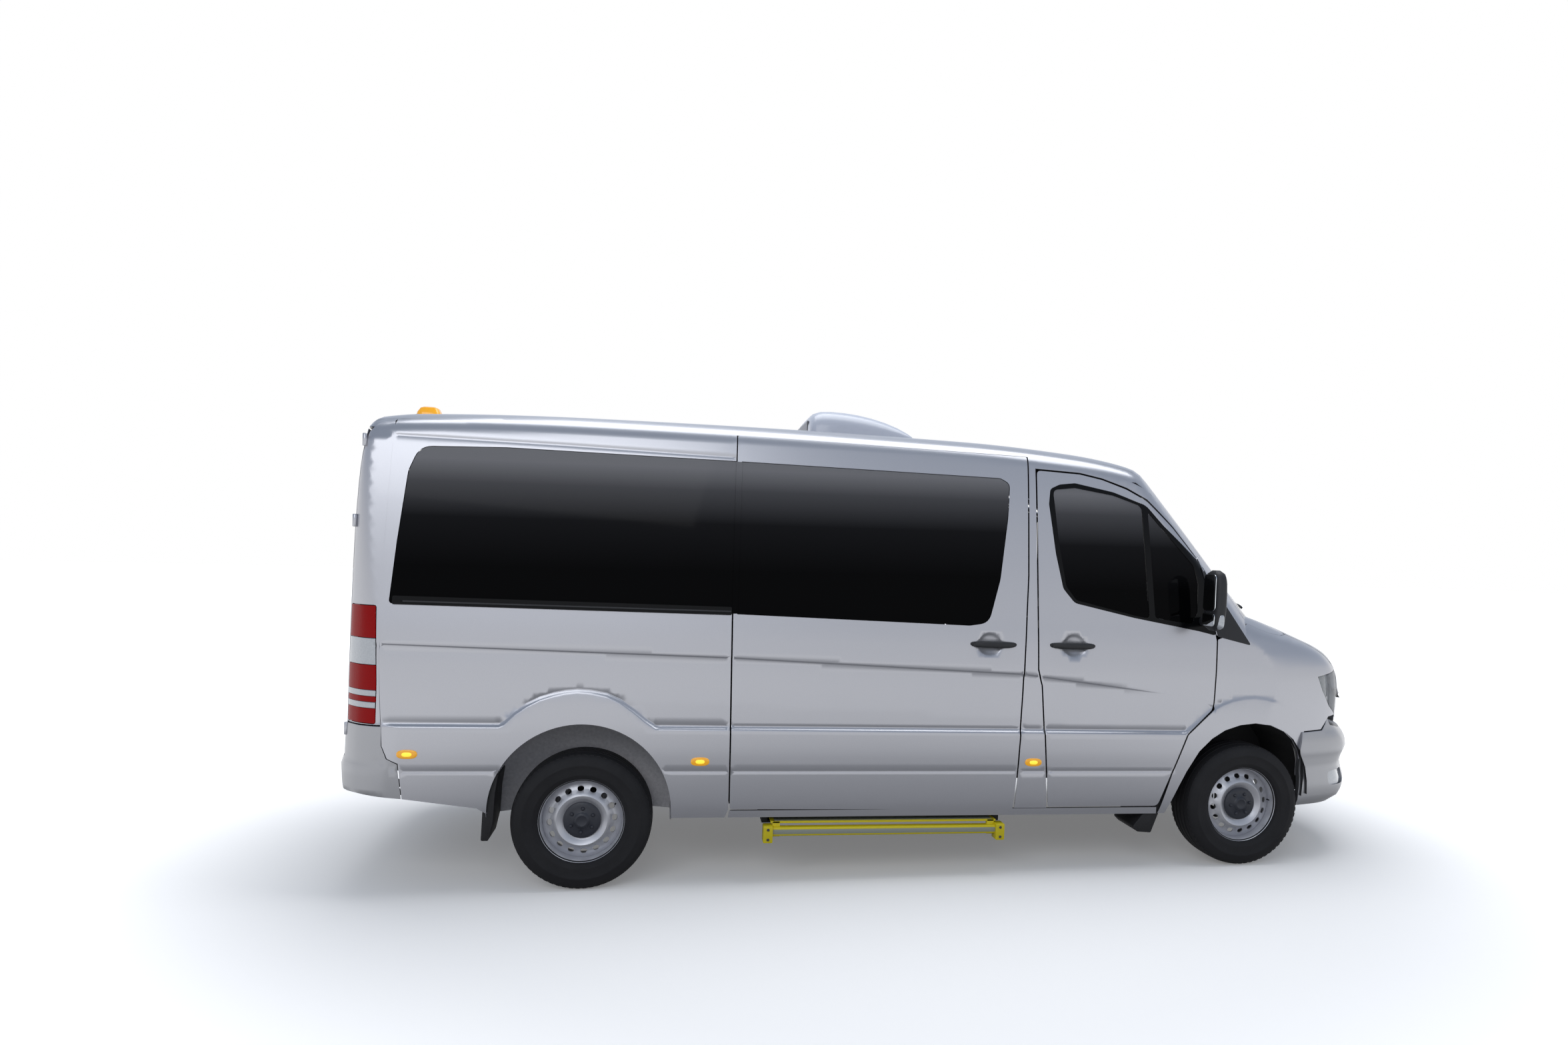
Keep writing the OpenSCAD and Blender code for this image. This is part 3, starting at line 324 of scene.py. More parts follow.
def sideHalf(x, z, side):
    ledge = (z - onLine(ledgeLine, x)) / np.sqrt(1 + slopeOf(ledgeLine, x) ** 2)
    above = smooth((ledge + 3) / 20)
    y = lowerHalf(z) * (1 - above) + upperHalf(z) * above
    y = y - 2.6 * np.clip(1 - np.abs(ledge - 21) / 5, 0, 1)
    waist = z - onLine(waistLine, x)
    fade = smooth((1470 - x) / 500) * features["waistStep"]
    y = y - np.where(waist > -9, smooth(-waist / 9), np.clip(1 + (waist + 9) / 230, 0, 1)) * fade
    mould = np.abs(z - 584 - np.where(x < -2592, (-2592 - x) * 0.45, 0))
    onBody = (x < 1500) & (np.abs(x - rearArch["x"]) > rearArch["mouldClear"])
    y = y - features["mouldDepth"] * np.clip(1 - mould / 6, 0, 1) * onBody
    edge = 2400 if side > 0 else -1012
    seam = np.abs(z - onLine(seamLine, np.minimum(x, edge)))
    y = y - features["seamDepth"] * np.clip(1 - seam / 5, 0, 1) * (x < (600 if side > 0 else -1012))
    crease = (z - onLine(wingCrease, x)) * ((x > 1990) & (x < 2440))
    y = y + 4 * np.clip(1 - np.abs(crease) / 60, 0, 1) * smooth((x - 1990) / 130) * (x < 2440)
    for name, (cx, cz) in cupPlaces.items():
        if side > 0 and name == "sliding":
            continue
        r = np.hypot(x - cx, z - cz) / features["cupR"]
        y = y - features["cupDepth"] * np.where(r < 1, (1 - r ** 2) ** 0.7, 0)
    return y


def sidePart(p):
    side = np.where(p[:, 1] > 0, 1, -1)
    both = [sideHalf(p[:, 0], p[:, 2], s) for s in (-1, 1)]
    return np.abs(p[:, 1]) - np.where(side > 0, both[1], both[0])


def saloonSkin(p):
    x, y, z = p[:, 0], np.abs(p[:, 1]), p[:, 2]
    crown = z - roofTop(x) + crownDrop(y)
    rear = rearX + rearPlan(y) + rearProfile(z) - x
    screen = x * screenOut[0] + z * screenOut[2] - shape["screenFar"] + shape["screenBow"] * y ** 3
    return most(most(most(sidePart(p), crown, 36), rear, 30), screen, 34)


def noseBow(y):
    return 5.11e-7 * y ** 3 + np.where(y > 800, 0.009 * (y - 800) ** 2, 0)


def noseSkin(p):
    x, y, z = p[:, 0], np.abs(p[:, 1]), p[:, 2]
    face = x - (frontX - 79 + noseProfile(z) - noseBow(y))
    fall = math.radians(21)
    prism = (2163 - bonnetFall(y) - math.sin(fall) * x) / math.cos(fall)
    top = most(z - bonnetCentre(x), z - prism, 30)
    return most(most(sidePart(p), top, 26), face, 26)


def bumperSkin(p):
    x, y, z = p[:, 0], np.abs(p[:, 1]), p[:, 2]
    face = x - (frontX - 2 + bumperProfile(z) - noseBow(y))
    lip = np.where((y < 520) & (z > 425) & (z < 560), 22 * smooth((520 - y) / 40)
                   * smooth((z - 425) / 18) * smooth((560 - z) / 18), 0)
    return most(sidePart(p) + 2, face + lip, 40)


def rearBumperSkin(p):
    x, y, z = p[:, 0], np.abs(p[:, 1]), p[:, 2]
    rear = rearX + rearPlan(y) + np.interp(z, [430, 470, 590, 628, 700, 800],
                                           [60, 12, 3, 14, 15, 18]) - x
    return most(sidePart(p) + 1, rear, 30)


def sideRays(side):
    return lambda uv: (np.stack([uv[:, 0], 0 * uv[:, 0], uv[:, 1]], -1), np.array([0, side, 0.0]))


def topRays(uv):
    return np.stack([uv[:, 0], uv[:, 1], 0 * uv[:, 0] + 1000], -1), np.array([0, 0, 1.0])


def screenRays(uv):
    p = uv[:, 1:2] * screenUp + 1500 * screenOut
    p[:, 1] = uv[:, 0]
    return p, screenOut


def rearRays(uv):
    # u is the distance along a flat back that turns forwards at both ends
    u, z = uv[:, 0], uv[:, 1]
    flat = np.clip(u, -700, 700)
    turn = (u - flat) / 300
    return (np.stack([0 * u - 2580, flat, z], -1), np.stack([-np.cos(turn), np.sin(turn), 0 * u], -1))


def noseRays(uv):
    turn = uv[:, 0] / 800
    return (np.stack([0 * turn + 1600, 0 * turn, uv[:, 1]], -1),
            np.stack([np.cos(turn), np.sin(turn), 0 * turn], -1))


def frontRays(uv):
    return np.stack([0 * uv[:, 0] + 1800, uv[:, 0], uv[:, 1]], -1), np.array([1.0, 0, 0])


def land(uv, rays, skin, inset=0.0):
    start, way = rays(np.asarray(uv, float))
    way = np.broadcast_to(way, start.shape)
    low, high = np.zeros(len(start)), np.full(len(start), 1900.0)
    for _ in range(26):
        mid = (low + high) / 2
        outside = skin(start + way * mid[:, None]) > -inset
        high, low = np.where(outside, mid, high), np.where(outside, low, mid)
    return start + way * low[:, None]


def spaced(loop, step, closed=True):
    pts = [tuple(p) for p in loop]
    out = []
    for a, b in zip(pts, pts[1:] + pts[:1] if closed else pts[1:]):
        n = max(1, round(math.dist(a, b) / step))
        out += [(a[0] + (b[0] - a[0]) * i / n, a[1] + (b[1] - a[1]) * i / n) for i in range(n)]
    if not closed:
        out.append(pts[-1])
    return np.array(out)


def signedArea(loop):
    x, y = np.array(loop, float).T
    return 0.5 * np.sum(x * np.roll(y, -1) - y * np.roll(x, -1))


def rounded(loop, r, n=5):
    # corners of a closed outline turned into arcs; r is one radius or one for each corner
    out = []
    for i, b in enumerate(loop):
        a, c = np.array(loop[i - 1], float), np.array(loop[(i + 1) % len(loop)], float)
        b = np.array(b, float)
        ri = r[i] if isinstance(r, (list, tuple)) else r
        u, v = (a - b) / np.linalg.norm(a - b), (c - b) / np.linalg.norm(c - b)
        half = math.acos(np.clip(u @ v, -1, 1)) / 2
        cut = min(ri / max(math.tan(half), 1e-3), 0.45 * np.linalg.norm(a - b),
                  0.45 * np.linalg.norm(c - b))
        if ri <= 0 or cut < 1:
            out.append(tuple(b))
            continue
        for k in range(n + 1):
            t = k / n
            out.append(tuple((1 - t) ** 2 * (b + u * cut) + 2 * t * (1 - t) * b + t * t * (b + v * cut)))
    return out


def inset(loop, d):
    loop = np.array(loop, float)
    way = np.roll(loop, -1, 0) - np.roll(loop, 1, 0)
    way /= np.linalg.norm(way, axis=1)[:, None] + 1e-9
    out = np.stack([-way[:, 1], way[:, 0]], -1) * (1 if signedArea(loop) > 0 else -1)
    return loop + out * d


def grow(loop, d):
    # outline moved outwards by d, corner by corner
    loop = np.array(loop, float)
    s = 1 if signedArea(loop) > 0 else -1
    res = []
    for i in range(len(loop)):
        a, b, c = loop[i - 1], loop[i], loop[(i + 1) % len(loop)]
        u, v = (b - a) / np.linalg.norm(b - a), (c - b) / np.linalg.norm(c - b)
        nu, nv = s * np.array([u[1], -u[0]]), s * np.array([v[1], -v[0]])
        res.append(tuple(b + d * (nu + nv) / max(1 + nu @ nv, 0.3)))
    return res


def within(points, loop):
    loop = np.asarray(loop, float)
    x, y = points[:, 0], points[:, 1]
    hit = np.zeros(len(points), bool)
    for (x1, y1), (x2, y2) in zip(loop, np.roll(loop, -1, 0)):
        cross = (y1 > y) != (y2 > y)
        with np.errstate(divide="ignore", invalid="ignore"):
            hit ^= cross & (x < (x2 - x1) * (y - y1) / (y2 - y1) + x1)
    return hit


def away(points, line, closed):
    # distance of points from a line of close-set points
    best = np.full(len(points), 1e9)
    for a, b in zip(line, np.roll(line, -1, 0) if closed else line[1:]):
        d = b - a
        t = np.clip(((points - a) @ d) / max(d @ d, 1e-9), 0, 1)
        best = np.minimum(best, np.linalg.norm(points - a - t[:, None] * d, axis=1))
    return best


def meshObject(name, verts, faces, materials):
    me = bpy.data.meshes.new(name)
    me.from_pydata([tuple(v) for v in verts], [], [tuple(int(i) for i in f) for f in faces])
    for m in materials:
        me.materials.append(m)
    o = bpy.data.objects.new(name, me)
    scene.collection.objects.link(o)
    return o


def applyAll(o):
    dg = bpy.context.evaluated_depsgraph_get()
    me = bpy.data.meshes.new_from_object(o.evaluated_get(dg))
    o.modifiers.clear()
    o.data = me


def shade(o, angle=32):
    o.data.shade_smooth()
    o.data.set_sharp_from_angle(angle=math.radians(angle))


def trueNormals(o, skin, deep):
    # shade the outer face with the skin's own slope, not with the triangles'
    me = o.data
    n = len(me.vertices)
    p = np.empty(n * 3)
    me.vertices.foreach_get("co", p)
    p = p.reshape(-1, 3) * 1000
    body = np.stack([p[:, 0] * math.cos(rake) - p[:, 2] * math.sin(rake), p[:, 1],
                     p[:, 0] * math.sin(rake) + p[:, 2] * math.cos(rake)], -1)
    slope = np.stack([skin(body + d) - skin(body - d) for d in np.eye(3) * 2.5], -1)
    slope /= np.maximum(np.linalg.norm(slope, axis=1), 1e-9)[:, None]
    normal = place(slope) * 1000
    near = np.abs(skin(body) + deep) < 2.5
    corner = np.empty(len(me.loops), int)
    me.loops.foreach_get("vertex_index", corner)
    faceNormal = np.empty(len(me.polygons) * 3)
    me.polygons.foreach_get("normal", faceNormal)
    sizes = np.empty(len(me.polygons), int)
    me.polygons.foreach_get("loop_total", sizes)
    flat = np.repeat(faceNormal.reshape(-1, 3), sizes, 0)
    good = near[corner] & (np.einsum("ij,ij->i", flat, normal[corner]) > 0.8)
    me.normals_split_custom_set(np.where(good[:, None], normal[corner], 0.0).tolist())


def attach(o, body, nodes=()):
    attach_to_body(o, body)
    if nodes:
        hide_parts(*nodes)
    return o


def panel(name, outline, rays, skin, body="body", nodes=(), holes=(), lines=(),
          step=30, thick=None, materials=None, deep=0.0, lip=3.5, angle=32, shut=0.0):
    # sheet laid on the skin inside an outline, with holes, crease lines, rolled edges and a wall
    thick = shape["wallT"] if thick is None else thick
    loops = [spaced(outline, step * 0.8)] + [spaced(h, step * 0.6) for h in holes]
    loops[0] = inset(loops[0], shut) if shut else loops[0]
    rims = [inset(loops[0], lip)] + [inset(h, -lip) for h in loops[1:]]
    verts, edges, fixed = [], [], []
    for loop in loops + rims:
        n = len(verts)
        verts += [tuple(p) for p in loop]
        edges += [(n + i, n + (i + 1) % len(loop)) for i in range(len(loop))]
        fixed.append((loop, True))
    for line in lines:
        line = spaced(line, step * 0.8, False)
        keep = within(line, loops[0]) & (away(line, loops[0], True) > lip + 3)
        for h in loops[1:]:
            keep &= ~within(line, h) & (away(line, h, True) > lip + 3)
        n = len(verts)
        index = {}
        for i in np.flatnonzero(keep):
            index[i] = n + len(index)
            verts.append(tuple(line[i]))
        edges += [(index[i], index[i + 1]) for i in index if i + 1 in index]
        if index:
            fixed.append((line[keep], False))
    low, high = loops[0].min(0), loops[0].max(0)
    gx, gy = np.meshgrid(np.arange(low[0] + step / 2, high[0], step),
                         np.arange(low[1] + step / 2, high[1], step))
    gx[1::2] += step / 2
    grid = np.stack([gx.ravel(), gy.ravel()], -1)
    grid = grid[within(grid, loops[0])]
    for h in loops[1:]:
        grid = grid[~within(grid, h)]
    for line, closed in fixed:
        grid = grid[away(grid, line, closed) > step * 0.42]
    verts += [tuple(p) for p in grid]
    got = delaunay_2d_cdt([Vector(v) for v in verts], edges, [], 0, 0.05, True)
    flat = np.array([tuple(v) for v in got[0]])
    tris = np.array([f for f in got[2]])
    centre = flat[tris].mean(1)
    keep = within(centre, loops[0])
    for h in loops[1:]:
        keep &= ~within(centre, h)
    tris = tris[keep]
    used = np.unique(tris)
    renumber = np.full(len(flat), -1)
    renumber[used] = np.arange(len(used))
    flat, tris = flat[used], renumber[tris]
    rimCount = sum(len(q) for q in loops)
    onEdge = np.zeros(len(flat), bool)
    for new, old in enumerate(used):
        onEdge[new] = any(i < rimCount for i in got[3][old])
    p = land(flat, rays, skin, deep)
    start, way = rays(flat)
    way = np.broadcast_to(way, p.shape)
    p = p - way * (onEdge * 1.6)[:, None]
    a, b, c = (p[tris[:, i]] for i in range(3))
    turned = np.einsum("ij,ij->i", np.cross(b - a, c - a), way[tris[:, 0]]) < 0
    tris[turned] = tris[turned][:, ::-1]
    o = meshObject(name, place(p), tris, materials or [silverPaint, liningFabric])
    wall = o.modifiers.new("wall", "SOLIDIFY")
    wall.thickness, wall.offset = thick / 1000, -1
    wall.use_even_offset = False
    wall.material_offset = 1 if len(o.data.materials) > 1 else 0
    applyAll(o)
    shade(o, angle)
    trueNormals(o, skin, deep)
    return attach(o, body, nodes)


def offsetLine(line, d):
    return [(x, z + d) for x, z in line]

# Panels of the body

dropZ = 2308
topSeam = [(-2700, dropZ), (-2300, 2321), (-1006, 2328), (592, 2310), (899, 2276), (1100, 2240),
           (1290, 2165), (1400, 2092),
           (1480, 2018), (1640, 1852), (1800, 1655), (1935, 1468), (2000, 1370)]
# outlines of the openings in side view, as (x, z)
doorOutline = rounded([(641, 2236), (663, 1139), (689, 1053), (747, 382), (1401, 382), (1468, 560),
                       (1557, 793), (1713, 936), (1726, 1321), (1622, 1772), (1459, 1953), (1297, 2098),
                       (1175, 2157), (1030, 2203), (897, 2227)],
                      [26, 60, 60, 18, 40, 200, 60, 60, 10, 60, 160, 160, 120, 120, 60])
slideOutline = rounded([(-1008, 2328), (-1006, 1347), (-990, 382), (549, 368), (560, 571), (567, 780),
                        (579, 1138), (596, 1652), (590, 2308)], [10, 60, 14, 14, 60, 60, 200, 300, 10])
longWindow = rounded([(-2662, 1400), (-2640, 1700), (-2606, 2050), (-2560, 2172), (-2156, 2189),
                      (-1006, 2186), (430, 2176), (484, 2150), (474, 1960), (433, 1622), (372, 1388),
                      (266, 1371), (-987, 1396)],
                     [16, 300, 120, 90, 300, 100, 40, 60, 300, 200, 90, 60, 100], 6)
windowSplit = -998


def cutAt(loop, x, keepRear):
    # the part of an outline on one side of a line of constant x
    out = []
    for a, b in zip(loop, loop[1:] + loop[:1]):
        inA, inB = (a[0] <= x) == keepRear, (b[0] <= x) == keepRear
        if inA:
            out.append(a)
        if inA != inB:
            t = (x - a[0]) / (b[0] - a[0])
            out.append((x, a[1] + t * (b[1] - a[1])))
    return out


def archLoop(grown=0.0):
    # rear wheel arch, as seen from the side
    r, cx, cz = rearArch["r"] + grown, rearArch["x"], rearArch["z"]
    turns = np.radians(np.linspace(188, -6, 44))
    return [(cx + r * math.cos(a), cz + r * math.sin(a)) for a in turns]


def roundOf(cx, cz, r, n=28):
    return [(cx + r * math.cos(2 * math.pi * i / n), cz + r * math.sin(2 * math.pi * i / n))
            for i in range(n + 1)]


ledgePts = [tuple(p) for p in ledgeLine]
waistPts = [tuple(p) for p in waistLine]
creases = [offsetLine(ledgePts, -3), offsetLine(ledgePts, 7), offsetLine(ledgePts, 16),
           offsetLine(ledgePts, 21),
           offsetLine(ledgePts, 26), offsetLine(waistPts, 0), offsetLine(waistPts, -4.5),
           offsetLine(waistPts, -9)]
creases += [[(-3000, 584 + d), (1480, 584 + d)] for d in (-6, 0, 6)]
seams = [[tuple(p + (0, d)) for p in seamLine] for d in (-6, 0, 6)]
wingLines = [[tuple(p + (0, d)) for p in wingCrease] for d in (-60, 0, 60)]


def cupLines(name):
    cx, cz = cupPlaces[name]
    return [roundOf(cx, cz, r) for r in (61, 54, 42, 24)]


def cowlX(y):
    # where the windscreen's plane comes down on the bonnet's surface
    xs = np.linspace(1880, 2262, 160)
    p = land(np.stack([xs, 0 * xs + y], -1), topRays, noseSkin)
    f = p[:, 0] * screenOut[0] + p[:,
                                   2] * screenOut[2] - shape["screenFar"] + shape["screenBow"] * abs(y) ** 3
    return min(float(np.interp(0, f, xs)) - 22, 2238)


for side, word in ((-1, "right"), (1, "left")):
    rays = sideRays(side)
    quarterFront = -1012 if side < 0 else 636
    sill = 338
    arch = archLoop()
    quarter = [(-2685, 2307), (-2692, 1965), (-2699, 1662), (-2696, 1093), (-2679, 806), (-2672, 706),
               (-2645, 645), (-2594, 622), (-2574, 447), (-2230, 398), (-2186, 372)]
    quarter += arch[1:-1]
    quarter += [(-1287, 372), (-1284, sill), (quarterFront if side < 0 else 1400, sill)]
    if side < 0:
        quarter += [(-996, 382), (-1012, 1347)]
        ring = cutAt(grow(longWindow, 3), -1012, True)
        k = next(i for i, q in enumerate(ring) if q[0] == -1012 and q[1] > 1800)
        quarter += ring[k + 1:] + ring[:k + 1] + [(-1012, 2328), (-2300, 2321)]
        panel("quarter_panel_right", quarter, rays, saloonSkin, nodes=("right_side_panel",),
              lines=creases + seams)
    else:
        quarter += [(1403, 372), (744, 372), (686, 1053), (659, 1139), (636, 2240), (632, 2308),
                    (-1006, 2328), (-2300, 2321)]
        panel("side_panel_left", quarter, rays, saloonSkin, nodes=("left_side_panel",),
              holes=[grow(longWindow, 3)], lines=creases + seams)
    if side < 0:
        panel("sill_right", [(-990, 376), (-996, sill), (1400, sill), (1396, 376)], rays, saloonSkin,
              step=26)
        panel("door_post_right", [(556, 378), (741, 378), (683, 1053), (657, 1139), (634, 2240),
                                  (632, 2306),
                                  (596, 2309), (602, 1652), (585, 1138), (573, 780), (566, 571)],
              rays, saloonSkin, lines=creases)
        doorHole = cutAt(grow(longWindow, 3), windowSplit + 14, False)
        panel("sliding_door_skin", slideOutline, rays, saloonSkin, nodes=("sliding_door",),
              holes=[rounded(doorHole, 0)], lines=creases + cupLines("sliding"), shut=2.0)
        panel("saloon_glass_rear", cutAt(longWindow, windowSplit - 2, True), rays, saloonSkin, thick=5,
              nodes=("side_windows",), materials=[saloonGlass], deep=1.5, step=45, lip=4)
        panel("saloon_glass_door", cutAt(longWindow, windowSplit + 2, False), rays, saloonSkin, thick=5,
              materials=[saloonGlass], deep=1.5, step=45, lip=4)
        strip = cutAt(cutAt(grow(longWindow, 0.5), -1012, False), -980, True)
        panel("saloon_glass_edge", strip, rays, lambda p: saloonSkin(p) - 0.8, thick=2,
              materials=[saloonGlass], step=30, lip=0.6)
    else:
        panel("saloon_glass_left", longWindow, rays, saloonSkin, thick=5,
              materials=[saloonGlass], deep=1.5, step=45, lip=4)

    # cab door: skin, black window surround, two panes
    windowOuter = rounded([(714, 2050), (722, 2135), (777, 2162), (867, 2174), (1095, 2135),
                           (1292, 2070),
                           (1400, 1958), (1662, 1730), (1716, 1560), (1716, 1352), (1613, 1374),
                           (1217, 1438),
                           (868, 1509), (800, 1586), (755, 1779)],
                          [60, 30, 60, 60, 200, 100, 160, 60, 100, 12, 120, 300, 60, 60, 300])
    mainPane = rounded([(738, 2131), (867, 2148), (1095, 2117), (1248, 2070), (1266, 2049),
                        (1312, 1436),
                        (1217, 1452), (877, 1525), (818, 1599), (771, 1855)],
                       [30, 60, 200, 30, 20, 22, 300, 50, 60, 300])
    smallPane = rounded([(1304, 2028), (1325, 2010), (1581, 1740), (1609, 1640), (1604, 1475),
                         (1570, 1412),
                         (1349, 1440)], [12, 20, 60, 50, 60, 30, 22])
    doorBody = f"front_door_{word}"
    panel(f"cab_door_skin_{word}", doorOutline, rays, saloonSkin, body=doorBody,
          nodes=(f"front_door_{word}",),
          holes=[grow(windowOuter, 1)], lines=creases + cupLines("front"), shut=2.0)
    panel(f"cab_window_surround_{word}", windowOuter, rays, saloonSkin, body=doorBody,
          holes=[grow(mainPane, 1), grow(smallPane, 1)], materials=[glossBlack], thick=24, deep=0.5,
          step=26)
    panel(f"cab_door_glass_{word}", mainPane, rays, saloonSkin, body=doorBody,
          nodes=(f"front_door_window_{word}",), materials=[doorGlass], thick=5, deep=4, step=40)
    panel(f"cab_quarter_glass_{word}", smallPane, rays, saloonSkin, body=doorBody,
          materials=[doorGlass], thick=5, deep=4, step=40)

    # pillar beside the windscreen, above and ahead of the door
    doorTop = [(632, 2244), (897, 2235), (1030, 2211), (1178, 2165), (1301, 2105), (1464, 1960),
               (1629, 1778), (1731, 1352)]
    seamDown = [q for q in topSeam if q[0] > 600 and q[0] < 1900]
    pillar = [(632, 2306)] + seamDown + [(1900, 1515), (1960, 1424), (1943, 1318),
                                         (1724, 1352)] + doorTop[::-1][1:]
    panel(f"cab_pillar_{word}", pillar, rays, saloonSkin, step=24)
    panel(f"sail_trim_{word}", rounded([(1629, 1742), (1731, 1345), (1939, 1300)], [4, 4, 8]), rays,
          lambda p: saloonSkin(p) - 3.5, materials=[blackPlastic], thick=8,
          step=26)

    # front wing
    wing = [(1409, 340), (1475, 560), (1563, 789), (1719, 934), (1733, 1328)]
    shoulder = land(np.array([(1948, 884), (2010, 884), (2105, 872), (2200, 835), (2258, 786)],
                             float) * (1, side),
                    topRays, noseSkin)
    wing += [(p[0], p[2] - 2) for p in shoulder]
    edgeTop = land(np.array([(2262, 772), (2380, 762), (2480, 754), (2560, 747), (2640, 722),
                             (2700, 700)],
                            float) * (1, side), topRays, noseSkin)
    wing += [(p[0], p[2] - 3) for p in edgeTop[:3]]
    wing += [(edgeTop[3][0], edgeTop[3][2] - 3), (2652, 1148), (2560, 1140), (2425, 1120), (2468, 1036),
             (2536, 942), (2610, 886), (2536, 880), (2472, 806), (2330, 803), (2322, 616), (2318, 545)]
    archF = [(2309, 536), (2303, 616), (2278, 696), (2235, 759), (2172, 807), (2072, 846), (1975, 858),
             (1880, 847), (1786, 817), (1708, 769), (1632, 695), (1563, 581), (1521, 495), (1450, 340)]
    wing += archF
    panel(f"front_wing_{word}", wing, rays, noseSkin, nodes=("front_wings",) if side < 0 else (),
          lines=creases[:3] + wingLines, step=24)
    screenEdge = [(float(cowlX(y)), y) for y in (700, 760, 820, 870)]
    topLoop = [(p[0], side * abs(p[1])) for p in shoulder] + [(2259, side * 768), (2259, side * 700)]
    topLoop += [(x, side * y) for x, y in screenEdge] + [(1930, side * 890)]
    panel(f"wing_top_{word}", topLoop, topRays, noseSkin, step=24)
    lamp = rounded([(2428, 1116), (2560, 1136), (2655, 1144), (2745, 1120), (2776, 1040), (2770, 860),
                    (2700, 832), (2614, 888), (2541, 944), (2472, 1036)],
                   [10, 60, 60, 30, 60, 30, 40, 60, 60, 60])
    panel(f"headlamp_cover_{word}", lamp, rays, noseSkin, thick=4,
          materials=[lampCover],
          nodes=("headlamps",) if side < 0 else (), deep=0.5, step=24, lip=4)
    panel(f"headlamp_bowl_{word}", grow(lamp, -4), rays, lambda p: noseSkin(p) + 62,
          thick=6, materials=[reflector], step=24)
    print("side panels", word)

# roof, from the seam forward to the windscreen's top edge
seamXs = [-2690] + list(range(-2600, 1400, 100))
roofSide = []
for x in seamXs:
    z = np.interp(x, [q[0] for q in topSeam], [q[1] for q in topSeam])
    roofSide.append(tuple(land([(x, z)], sideRays(1), saloonSkin)[0][:2]))
rearEdge = land([(u, dropZ) for u in np.linspace(0, 1080, 34)], rearRays, saloonSkin)
headerB = 640
header = []
for y in np.linspace(820, 0, 20):
    p = land([(y, headerB)], screenRays, saloonSkin)[0]
    header.append((p[0], p[1]))
roofHalf = [tuple(p[:2]) for p in rearEdge if p[0] < -2700] + roofSide
headerIn = [q for q in header if q[1] < roofSide[-1][1] - 12]
roofLoop = roofHalf + headerIn
roofLoop = roofLoop + [(x, -y) for x, y in roofLoop[::-1] if abs(y) > 1]
roofLoop = [q for i, q in enumerate(roofLoop) if math.dist(q, roofLoop[i - 1]) > 2]
panel("roof_skin", roofLoop, topRays, saloonSkin, nodes=("roof_panel",), step=45, thick=40)
print("roof")

# back: frame round the doors, two doors with panes, lamps on the corners


def acrossAt(value, z, axis, rays, skin, low, high, count, sign=1):
    # distance along a wrapped surface at which it reaches a value on an axis, at a height
    us = np.linspace(low, high, count)
    p = land(np.stack([us, 0 * us + z], -1), rays, skin)
    return float(np.interp(sign * value, sign * p[:, axis], us))


def backU(y, z):
    return acrossAt(y, z, 1, rearRays, saloonSkin, 0, 1130, 400)


def pillarU(x, z):
    return acrossAt(x, z, 0, rearRays, saloonSkin, 700, 1200, 300)


doorZ, doorTopZ = 642, 2250
frameIn = [(backU(828, z), z) for z in (634, 806, 1000, 1400, 1800, 2100, 2258)]
edgeLine = np.array([(-2681, 808), (-2696, 1093), (-2697, 1393), (-2699, 1662), (-2692, 1965),
                     (-2685, 2307)])
frameOut = [(pillarU(np.interp(z, edgeLine[:, 1], edgeLine[:, 0]) - 1, z),
             z) for z in np.linspace(2307, 808, 46)]
lampLow, lampHigh = 812, 1386
lampIn = [(backU(836, z), z) for z in (lampHigh, 1228, 1098, 950, lampLow)]
lampLine = np.array([(-2708, lampLow), (-2706, 993), (-2712, 1150), (-2720, lampHigh)])
lampOut = [(pillarU(np.interp(z, lampLine[:, 1], lampLine[:, 0]), z), z) for z in np.linspace(lampLow,
                                                                                              lampHigh, 12)]
halfFrame = frameOut + [(frameIn[1][0], 806)] + frameIn[2:]
frameLoop = halfFrame + [(-u, z) for u, z in halfFrame[::-1]]
lampHole = rounded(lampIn + lampOut, 12)
panel("rear_frame", frameLoop, rearRays, saloonSkin, nodes=("rear_door_frame",),
      holes=[grow(lampHole, 2), grow([(-u, z) for u, z in lampHole], 2)], step=34)
